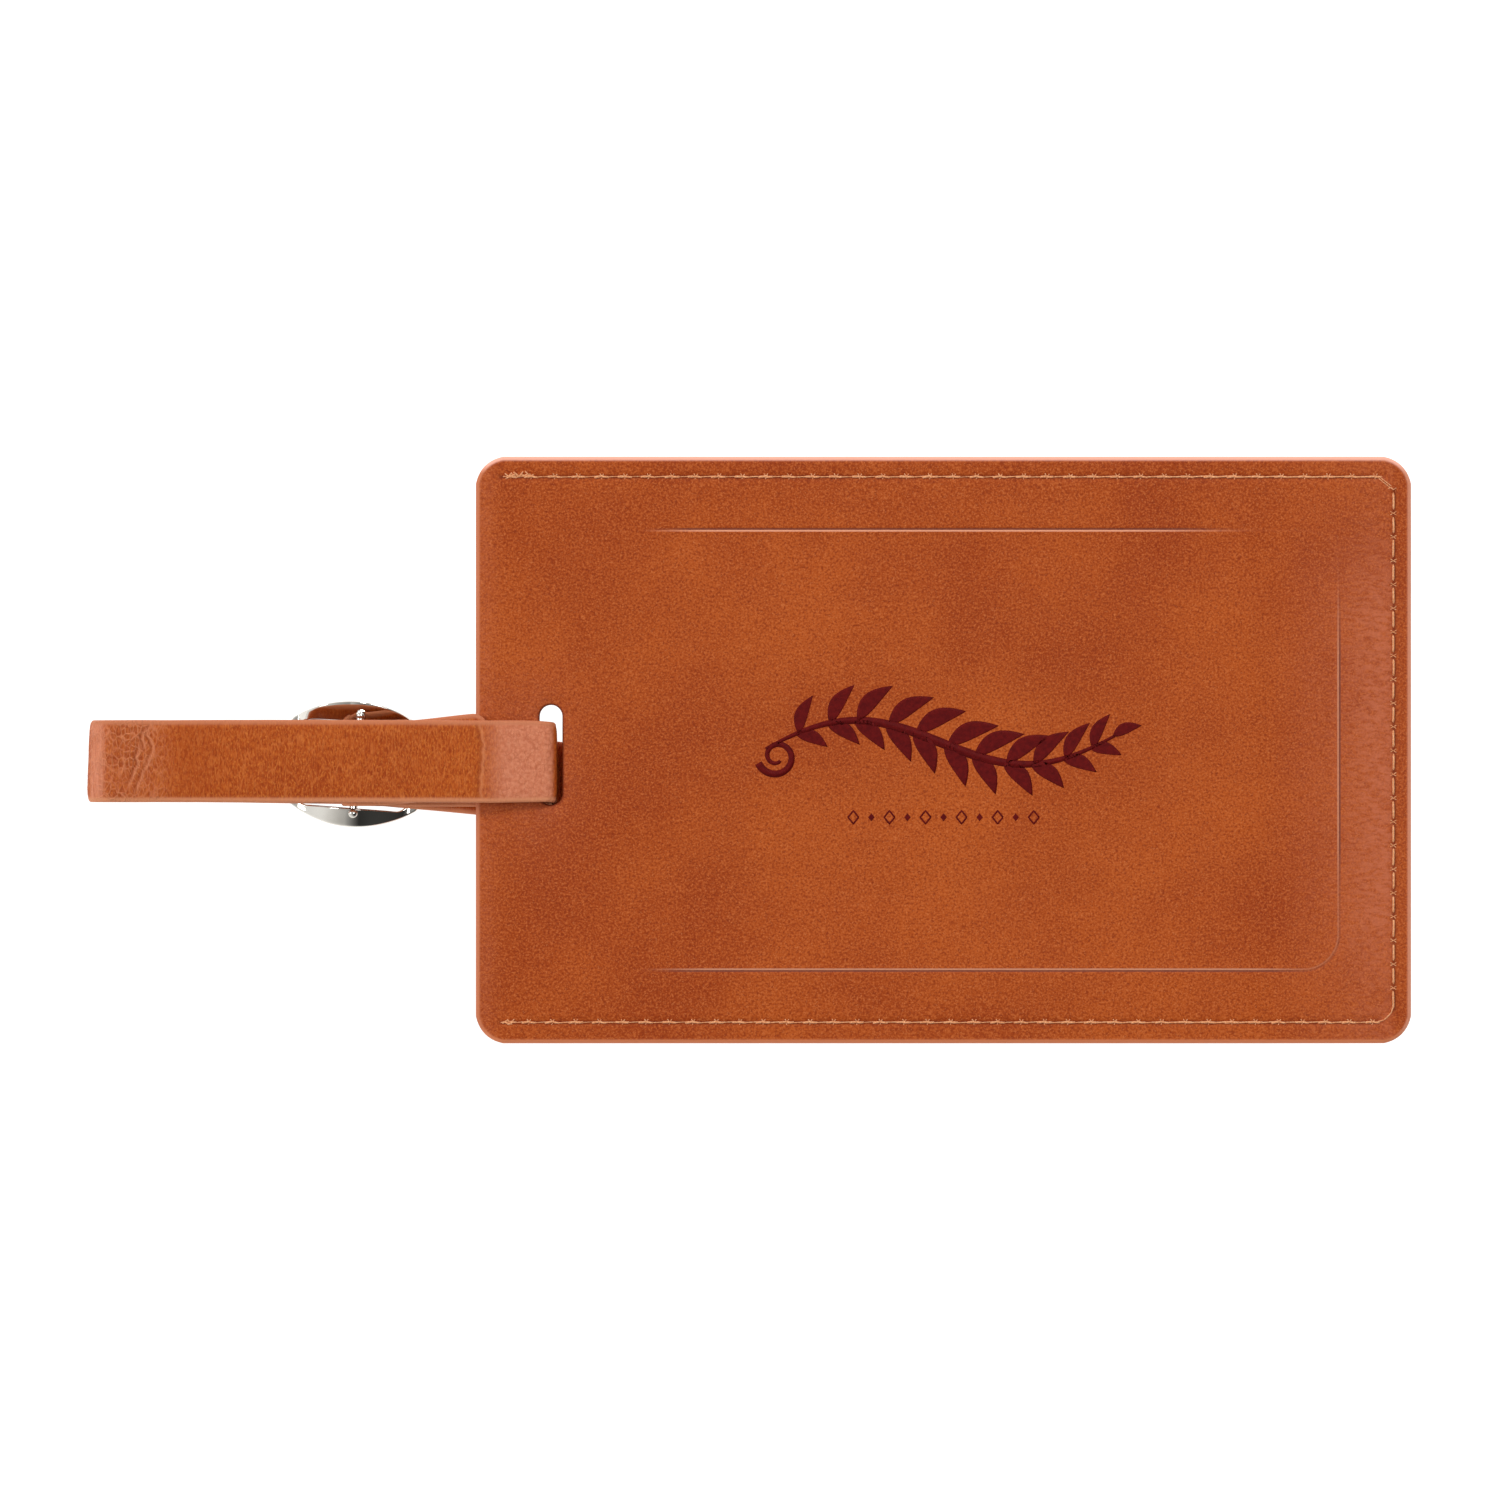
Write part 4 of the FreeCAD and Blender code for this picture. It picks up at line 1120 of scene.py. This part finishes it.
def leather(name, strap_like=False, back_side=False):
    g = Mat(name)
    o = g.vec(warp=(900, 0.0004))
    if strap_like:
        u = g.vec((0.1, 0.1, 0.1), "UV")
        grain_v = g.vec((0.1, 0.042, 0.1), "UV", warp=(900, 0.0003))
    else:
        u, grain_v = g.vec(), o
    cloud = g.noise(u, 58, 3, 0.55)
    mid = g.noise(u, 420, 3, 0.6)
    grain = g.noise(grain_v, 4500 if strap_like else 3800, 2, 0.5)
    fleck = g.noise(grain_v, 6800 if strap_like else 6200, 1, 0.5)
    cells = g.voro(grain_v, 3800)
    col = g.mix(g.rng(cloud, 0.36, 0.66), C_DARK, C_LIGHT)
    col = g.mix(0.36, col, C_BODY)
    col = g.mix(g.rng(mid, 0.34, 0.72, 0.0, 0.30), col, g.mix(0.5, C_DARK, C_BODY))
    if strap_like:
        col = g.mix(g.rng(grain, 0.50, 0.72, 0.0, 0.62), col, srgb(200, 106, 36))
        col = g.mix(g.rng(grain, 0.50, 0.30, 0.0, 0.66), col, srgb(130, 44, 4))
        col = g.mix(g.rng(fleck, 0.56, 0.70, 0.0, 0.52), col, srgb(212, 126, 54))
    else:
        col = g.mix(g.rng(grain, 0.50, 0.72, 0.0, 0.66), col, srgb(200, 104, 48))
        col = g.mix(g.rng(grain, 0.50, 0.30, 0.0, 0.72), col, srgb(128, 42, 6))
        col = g.mix(g.rng(fleck, 0.58, 0.72, 0.0, 0.50), col, srgb(212, 124, 70))
    if strap_like:
        fine_cr = g.voro(g.vec((0.1, 0.023, 0.1), "UV", warp=(900, 0.0004)), 1900, "DISTANCE_TO_EDGE")
        broken = g.rng(g.noise(u, 620, 2), 0.40, 0.62, 0.15, 1.0)
        col = g.mix(g.math("MULTIPLY", g.rng(fine_cr, 0.0, 0.12, 0.54, 0.0), broken), col, srgb(208, 116, 54))
        col = g.mix(g.math("MULTIPLY", g.attr("tone"), 0.26), col, srgb(146, 52, 8))
    if strap_like:
        bend, slope_sheen, edge = g.attr("bend"), g.attr("slope_sheen"), g.attr("edge")
        net = g.voro(g.vec((0.1, 0.062, 0.1), "UV", warp=(700, 0.0004)), 1750, "DISTANCE_TO_EDGE")
        wrinkle_highlight_net = g.voro(g.vec((0.1, 0.052, 0.1), "UV", warp=(900, 0.0006)), 2300, "DISTANCE_TO_EDGE")
        # wrinkles near the left bend: painted highlights on the ridges and painted shade in the pits, masked by patchy
        patchy = g.math("MULTIPLY", bend, g.rng(g.noise(u, 330, 2), 0.36, 0.62, 0.35, 1.0))
        ridge_m = g.math("MULTIPLY", g.rng(net, 0.01, 0.12, 1.0, 0.0), patchy)
        pit_shade_m = g.math("MULTIPLY", g.math("MULTIPLY", g.rng(net, 0.10, 0.20), g.rng(net, 0.34, 0.22)), patchy)
        fold, press_fold_highlight = g.attr("fold"), g.attr("pressfold_highlight")
        # painted pinkish sheen over the bend area, then painted highlight lines, painted shade in the pits and painted
        # highlight on the ridges
        col = g.mix(g.math("MULTIPLY", bend, 0.16), col, srgb(196, 106, 66))
        col = g.mix(g.math("MULTIPLY", g.rng(wrinkle_highlight_net, 0.0, 0.14, 0.36, 0.0), patchy), col, srgb(214, 132, 92))
        col = g.mix(g.math("MULTIPLY", pit_shade_m, 0.56), col, srgb(140, 56, 18))
        col = g.mix(g.math("MULTIPLY", ridge_m, 0.58), col, srgb(218, 138, 98))
        # painted shade just beside each fold line near the left bend, then a painted highlight along the line
        col = g.mix(g.math("MULTIPLY", g.attr("fold_shade"), 0.62), col, srgb(132, 52, 16))
        col = g.mix(g.math("MULTIPLY", fold, 0.62), col, srgb(222, 142, 102))
        # painted sheen on the strap's run that slopes down from the crease into the slot, pinkish, with darker pebble
        # spots in it
        slope_sheen_col = g.mix(g.rng(g.noise(u, 2100, 2, 0.55), 0.34, 0.66), srgb(202, 118, 86), srgb(222, 142, 108))
        pebble = g.voro(g.vec((0.1, 0.085, 0.1), "UV", warp=(900, 0.0004)), 1750, "DISTANCE_TO_EDGE")
        pebble_m = g.math("MULTIPLY", g.rng(pebble, 0.0, 0.13, 1.0, 0.0), g.rng(g.noise(u, 800, 2), 0.40, 0.60, 0.2, 1.0))
        slope_sheen_col = g.mix(g.math("MULTIPLY", pebble_m, 0.46), slope_sheen_col, srgb(166, 84, 54))
        col = g.mix(g.math("MULTIPLY", slope_sheen, 0.86), col, slope_sheen_col)
        # painted shade beside the crease where the strap starts to dip, then a painted highlight along it
        col = g.mix(g.math("MULTIPLY", g.attr("pressfold_shade"), 0.40), col, srgb(136, 60, 26))
        col = g.mix(g.math("MULTIPLY", press_fold_highlight, 0.44), col, srgb(224, 144, 98))
        streak = g.rng(g.noise(g.vec((0.1, 0.012, 0.1), "UV"), 2400, 2, 0.6), 0.32, 0.68, 0.36, 0.92)
        col = g.mix(g.math("MULTIPLY", g.attr("bendlight"), streak), col, srgb(216, 138, 106))
        # strap edges: light edge paint with a painted highlight, lighter towards the -Y edge than the +Y edge
        across = g.n("SeparateXYZ", {0: g.vec()}).outputs[1]
        edge_paint_and_highlight_col = g.mix(g.rng(across, 0.0022, -0.0048), srgb(196, 120, 84), srgb(216, 142, 102))
        col = g.mix(g.math("MULTIPLY", edge, 0.85), col, edge_paint_and_highlight_col)
        h = g.math("ADD", g.math("MULTIPLY", grain, 0.7), g.math("MULTIPLY", cells, 0.5))
        h = g.math("ADD", h, g.math("MULTIPLY", ridge_m, 0.9))
        nor = g.bump(h, 0.8, 0.00009)
    else:
        rim, lip, sheen_margin = g.attr("rim"), g.attr("lip"), g.attr("sheen_margin")
        slant = g.n("Mapping", {"Vector": g.vec(warp=(600, 0.0008)), "Rotation": (0, 0, 0.62), "Scale": (0.34, 1, 1)}).outputs[0]
        # painted sheen: pinkish highlight on the right margin, beside the slot and along the left edge, in slanted
        # streaks
        painted_sheen = g.math("MULTIPLY", sheen_margin, g.rng(g.noise(slant, 2600, 2, 0.55), 0.36, 0.62, 0.35, 1.0))
        col = g.mix(g.math("MULTIPLY", painted_sheen, 0.75), col, C_SHEEN_PINK)
        press = g.attr("press")
        sep = g.n("SeparateXYZ", {0: g.vec()})
        ax = g.math("SUBTRACT", sep.outputs[0], (PRESS_X1 - PRESS_R) * MM)
        ay = g.math("SUBTRACT", g.math("ABSOLUTE", sep.outputs[1]), (PRESS_Y - PRESS_R) * MM)
        mx, my = g.math("MAXIMUM", ax, 0.0), g.math("MAXIMUM", ay, 0.0)
        far_out = g.math("SQRT", g.math("ADD", g.math("MULTIPLY", mx, mx), g.math("MULTIPLY", my, my)))
        sd = g.math("ADD", far_out, g.math("MINIMUM", g.math("MAXIMUM", ax, ay), 0.0))
        sd = g.math("SUBTRACT", sd, PRESS_R * MM)
        # painted highlight just inside the pressed U line and painted shade just outside it
        press_line_highlight = g.rng(g.math("ABSOLUTE", g.math("ADD", sd, 0.00011)), 0.00015, 0.00003)
        press_line_shade = g.rng(g.math("ABSOLUTE", g.math("SUBTRACT", sd, 0.00010)), 0.00016, 0.00003)
        col = g.mix(g.math("MULTIPLY", press_line_highlight, press), col, srgb(226, 158, 126))
        col = g.mix(g.math("MULTIPLY", press_line_shade, g.math("MINIMUM", g.math("MULTIPLY", press, 1.3), 0.85)), col, srgb(112, 62, 52))
        # painted shade along the stitch grooves
        col = g.mix(g.math("MULTIPLY", g.attr("seam_shade"), 0.75), col, srgb(104, 36, 10))
        # painted shade on the slot's walls and lip
        col = g.mix(g.math("MULTIPLY", lip, 0.8), col, srgb(120, 48, 26))
        # tag rim: pinkish edge paint with a painted highlight, lightest on the +Y edge, then the right and -Y edges,
        # darkest on the left edge
        far_rim = g.rng(sep.outputs[1], 0.0325, 0.0336)
        near_rim = g.rng(sep.outputs[1], -0.0325, -0.0336)
        left_rim = g.rng(sep.outputs[0], -0.0300, -0.0312)
        side_rim = g.mix(left_rim, srgb(218, 144, 114), srgb(196, 116, 80))
        rim_paint_and_highlight_col = g.mix(far_rim, g.mix(near_rim, side_rim, srgb(214, 128, 86)), srgb(242, 174, 152))
        rolled = g.rng(sep.outputs[2], 0.0036, 0.0041, 0.30, 1.0)     # the rim colour fades down the cut wall below the rolled rim, so the painted highlight sits on the rounded top
        col = g.mix(g.math("MULTIPLY", rim, rolled), col, rim_paint_and_highlight_col)
        h = g.math("ADD", g.math("MULTIPLY", grain, 0.6), g.math("MULTIPLY", cells, 0.6))
        nor = g.bump(h, 0.6, 0.00007)
    rough = g.rng(g.noise(u, 300, 2), 0.3, 0.7, 0.50, 0.62)
    return g.surface(Base_Color=col, Roughness=rough, Normal=nor, Specular_IOR_Level=0.14)


m_panel = leather("tag_leatherette")
m_back = leather("back_leatherette", back_side=True)
m_strap = leather("strap_leatherette_show", strap_like=True)

g = Mat("thread_tan")
o = g.vec()
fibre = g.noise(g.vec((1, 1, 1), warp=(3000, 0.0002)), 5200, 2)
col = g.mix(g.rng(fibre, 0.35, 0.7), srgb(212, 132, 80), srgb(244, 182, 132))
m_thread = g.surface(Base_Color=col, Roughness=0.62, Specular_IOR_Level=0.3, Sheen_Weight=0.2,
                     Normal=g.bump(fibre, 0.4, 0.00004))

g = Mat("bright_nickel")
o = g.vec()
smudge = g.noise(o, 260, 3)
scr = g.noise(g.vec((1, 0.06, 1)), 9000, 2)
m_nickel = g.surface(Base_Color=g.mix(g.rng(smudge, 0.3, 0.7), srgb(214, 209, 200), srgb(232, 229, 222)), Metallic=1.0,
                     Roughness=g.rng(smudge, 0.25, 0.75, 0.05, 0.12), Normal=g.bump(scr, 0.05, 0.00001))

g = Mat("engraved_maroon")
o = g.vec()
gr = g.noise(o, 2300, 3, 0.6)
m_motif = g.surface(Base_Color=g.mix(g.rng(gr, 0.35, 0.7), srgb(84, 4, 6), srgb(104, 12, 10)), Roughness=0.6,
                    Specular_IOR_Level=0.1, Normal=g.bump(gr, 0.4, 0.00006))

g = Mat("clear_vinyl_film")
o = g.vec()
wav = g.noise(g.vec(warp=(60, 0.01)), 120, 2)
haze = g.noise(o, 1400, 3, 0.6)
film_bsdf = g.n("BsdfPrincipled", {"Base Color": (0.96, 0.98, 1.0, 1.0), "Roughness": 0.06, "IOR": 1.35,
                                   "Alpha": g.rng(haze, 0.3, 0.8, 0.10, 0.22), "Coat Weight": 0.5,
                                   "Normal": g.bump(wav, 0.25, 0.0006)})
g.t.links.new(film_bsdf.outputs[0], g.out.inputs["Surface"])
m_film = g.m

g = Mat("card_paper_ruled")
o = g.vec()
sep = g.n("SeparateXYZ", {0: o})
fib = g.noise(g.vec((1, 1, 1), warp=(900, 0.0008)), 2600, 3, 0.6)
paper = g.mix(g.rng(fib, 0.3, 0.7), srgb(240, 237, 228), srgb(250, 248, 242))
rule = g.math("PINGPONG", g.math("ADD", sep.outputs[1], 0.1), 0.004)
on_line = g.rng(rule, 0.00010, 0.00020, 1.0, 0.0)
span = g.math("MULTIPLY", g.rng(sep.outputs[0], -0.0035, -0.0033), g.rng(sep.outputs[0], 0.0593, 0.0591))
band = g.math("MULTIPLY", g.rng(sep.outputs[1], 0.0175, 0.0173), g.rng(sep.outputs[1], -0.0175, -0.0173))
m_card = g.surface(Base_Color=g.mix(g.math("MULTIPLY", on_line, g.math("MULTIPLY", span, band)), paper, srgb(120, 132, 150)),
                   Roughness=0.8, Normal=g.bump(fib, 0.2, 0.00004))

g = Mat("board_grey")
o = g.vec()
fib = g.noise(g.vec((1, 1, 6), warp=(700, 0.001)), 1900, 4, 0.6)
spk = g.voro(o, 1500)
m_board = g.surface(Base_Color=g.mix(g.rng(fib, 0.3, 0.72), srgb(132, 120, 104), srgb(172, 160, 142)), Roughness=0.9,
                    Normal=g.bump(g.math("ADD", fib, spk), 0.3, 0.00008))


def dress(ob, mat):
    ob.data.materials.clear()
    ob.data.materials.append(mat)


def add_attr(ob, name, fn):
    co = np.zeros(len(ob.data.vertices) * 3, np.float32)
    ob.data.vertices.foreach_get("co", co)
    co = co.reshape(-1, 3) / MM
    a = ob.data.attributes.get(name) or ob.data.attributes.new(name, "FLOAT", "POINT")
    a.data.foreach_set("value", np.asarray(fn(co[:, 0], co[:, 1], co[:, 2]), np.float32))


# where the painted pinkish sheen lies on the front panel: right margin, around the slot, left edge
def sheen_margin_of(x, y, z):
    right = (0.35 * step01(x, 60, 69.3) + 0.65 * step01(x, 67.5, 74.5)) * (1 - 0.9 * step01(x, 75.3, 76.2))
    right = right * (0.25 + 0.75 * step01(-y, -31, -14)) * (1 - 0.45 * step01(-y, 16, 30))
    slot = np.exp(-(((x + 25.5) / 5.0) ** 2)) * np.exp(-(((y + 1.5) / 9.0) ** 2)) * 0.55
    left = np.exp(-(((x + 31.5) / 1.6) ** 2)) * 0.35
    return np.clip(right + slot + left, 0, 1)


add_attr(front, "sheen_margin", sheen_margin_of)
# a faint even painted sheen over the whole back panel
add_attr(back, "sheen_margin", lambda x, y, z: 0 * x + 0.15)


# strength of the painted highlight and shade along the pressed U line
def press_of(x, y, z):
    d, s, inside = press_distance(x, y)
    s = s * (1 - 0.42 * step01(x, 58, 65) * step01(-y, 10, 18))
    return np.where(z > 4.0, s * (d < 3), 0)


# where the painted shade lies in the front panel's stitch grooves
def seam_shade_of(x, y, z):
    row = np.minimum(np.abs(y - ROW_TOP), np.abs(y - ROW_BOT))
    row = np.where((x > -29.4) & (x < 74.2), row, 9.0)
    col = np.where(np.abs(y) < 30.6, np.abs(x - ROW_RIGHT - 0.08), 9.0)
    return np.exp(-((np.minimum(row, col) / 0.22) ** 2)) * (z > 4.0)


add_attr(front, "press", press_of)
add_attr(back, "press", lambda x, y, z: 0 * x)
add_attr(front, "seam_shade", seam_shade_of)
# painted shade along the back panel's stitch rows
add_attr(back, "seam_shade", lambda x, y, z: np.exp(-((np.minimum(np.abs(y - ROW_TOP), np.abs(y - ROW_BOT)) / 0.3) ** 2))
         * (z < 3.0) * (x > -29.2) * (x < 74.0))


# where the painted sheen lies on the strap: from the crease down to the slot
def slope_sheen_of(x, y, z):
    on = (z > 4.9)
    s = (0.20 * step01(x, -31.8, -30.9) + 0.80 * step01(x, -31.4, -28.2)) * (1 - step01(x, -23.3, -22.8))
    return np.where(on, s, 0)


add_attr(strap, "slope_sheen", slope_sheen_of)
add_attr(strap, "bendlight", lambda x, y, z: (z > 3.4) * step01(x, -77.6, -77.2) * (1 - step01(x, -76.2, -75.4)))
add_attr(strap, "tone", lambda x, y, z: (z > 4.9) * np.exp(-(((x + 65.8) / 3.4) ** 2)))
# masks for the painted highlight along the fold lines and the painted shade just beside them
add_attr(strap, "fold", lambda x, y, z: (z > 4.9) * fold_lines(x, y + 1.31, FOLDS, 0.14))
add_attr(strap, "fold_shade", lambda x, y, z: (z > 4.9) * fold_lines(x + 0.28, y + 1.31, FOLDS, 0.18))
# masks for the painted highlight along that crease and the painted shade beside it
add_attr(strap, "pressfold_highlight", lambda x, y, z: (z > 6.0) * fold_lines(x, y + 1.36, [PRESS_FOLD], 0.16))
add_attr(strap, "pressfold_shade", lambda x, y, z: (z > 6.0) * fold_lines(x + 0.32, y + 1.36, [PRESS_FOLD], 0.26))
dress(front, m_panel)
dress(back, m_back)
dress(strap, m_strap)
dress(needle, m_thread)
dress(bobbin, m_thread)
for ob in (ringb, bar_heads, prong):
    dress(ob, m_nickel)
dress(film, m_film)
dress(card, m_card)
dress(motif_ob, m_motif)
for name, mat in (("buckle_bar", m_nickel), ("stiffener_board", m_board)):
    me = nodes[name].data
    if not me.materials:
        me.materials.append(mat)
    for i in range(len(me.materials)):
        me.materials[i] = mat

# ------------------------------------------------------------------ what rides on what
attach(front, "tag_body"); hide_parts("front_panel")
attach(motif_ob, "tag_body")
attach(back, "tag_body"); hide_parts("back_panel")
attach(needle, "tag_body"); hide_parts("needle_thread")
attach(bobbin, "tag_body"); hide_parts("bobbin_thread")
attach(film, "tag_body"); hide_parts("clear_pocket")
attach(card, "card"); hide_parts("id_card")
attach(ringb, "buckle"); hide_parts("buckle_frame")
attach(bar_heads, "buckle")
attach(prong, "prong"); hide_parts("buckle_prong")
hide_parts("strap_run", "strap_fold", "strap_slot_turn", "strap_flap_tip", "strap_tail_tip")
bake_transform(strap)

# ------------------------------------------------------------------ floor, light, camera
me = bpy.data.meshes.new("floor")
me.from_pydata([(-3, -3, 0), (3, -3, 0), (3, 3, 0), (-3, 3, 0)], [], [(0, 1, 2, 3)])
floor = bpy.data.objects.new("floor", me)
bpy.context.scene.collection.objects.link(floor)
floor.location.z = -0.030                 # low enough that the strap hangs clear of it at its joint's lower limit
g = Mat("floor_white")
tone = g.rng(g.noise(g.vec(), 9.0, 2), 0.3, 0.7, 0.84, 0.88)
g.surface(Base_Color=(0.40, 0.40, 0.40, 1), Roughness=0.9, Specular_IOR_Level=0.0,
          Emission_Color=(1, 1, 1, 1), Emission_Strength=tone)
dress(floor, g.m)

world = bpy.data.worlds.new("studio")
bpy.context.scene.world = world
world.use_nodes = True
wt = world.node_tree
wt.nodes.clear()
wo = wt.nodes.new("ShaderNodeOutputWorld")
bg = wt.nodes.new("ShaderNodeBackground")
tc = wt.nodes.new("ShaderNodeTexCoord")


def wn(kind, ins, **props):
    nd = wt.nodes.new("ShaderNode" + kind)
    for k, v in props.items():
        setattr(nd, k, v)
    for k, v in ins.items():
        if isinstance(v, bpy.types.NodeSocket):
            wt.links.new(v, nd.inputs[k])
        else:
            nd.inputs[k].default_value = v
    return nd


sky = wn("SeparateXYZ", {0: tc.outputs["Generated"]})
high = wn("MapRange", {"Value": sky.outputs[2], "From Min": 0.30, "From Max": 0.92, "To Min": 0.95, "To Max": 0.50})
flag = wn("VectorMath", {0: tc.outputs["Generated"], 1: (0.74, -0.36, 0.57)}, operation="DOT_PRODUCT")
shade = wn("MapRange", {"Value": flag.outputs["Value"], "From Min": 0.38, "From Max": 0.93, "To Min": 1.0, "To Max": 0.06})
power = wn("Math", {0: high.outputs[0], 1: shade.outputs[0]}, operation="MULTIPLY")
bg.inputs["Color"].default_value = (1, 0.995, 0.985, 1)
wt.links.new(power.outputs[0], bg.inputs["Strength"])
wt.links.new(bg.outputs[0], wo.inputs[0])


def area(name, loc, size, power, target=(0, 0, 0.004), size_y=None, color=(1, 1, 1)):
    ld = bpy.data.lights.new(name, "AREA")
    ld.shape = "RECTANGLE"
    ld.size, ld.size_y = size, size_y or size
    ld.energy = power
    ld.color = color
    ob = bpy.data.objects.new(name, ld)
    ob.location = loc
    ob.rotation_euler = (Vector(target) - Vector(loc)).to_track_quat("-Z", "Y").to_euler()
    bpy.context.scene.collection.objects.link(ob)
    return ob


area("key", (0.42, 0.95, 1.15), 0.5, 8.0)
area("side_right", (0.50, 0.10, 1.45), 0.35, 3.6, size_y=0.7)
area("side_left", (-0.95, 0.15, 0.75), 0.4, 3.0)

cam = bpy.data.cameras.new("camera")
cam.lens, cam.sensor_width = 180, 36
cam.clip_start, cam.clip_end = 0.01, 50
co = bpy.data.objects.new("camera", cam)
co.location = (0.0000588, 0, 0.004 + 0.88235)
bpy.context.scene.collection.objects.link(co)
bpy.context.scene.camera = co
vs = bpy.context.scene.view_settings
vs.view_transform = "Standard"
vs.look = "None"
vs.exposure, vs.gamma = 0.0, 1.0
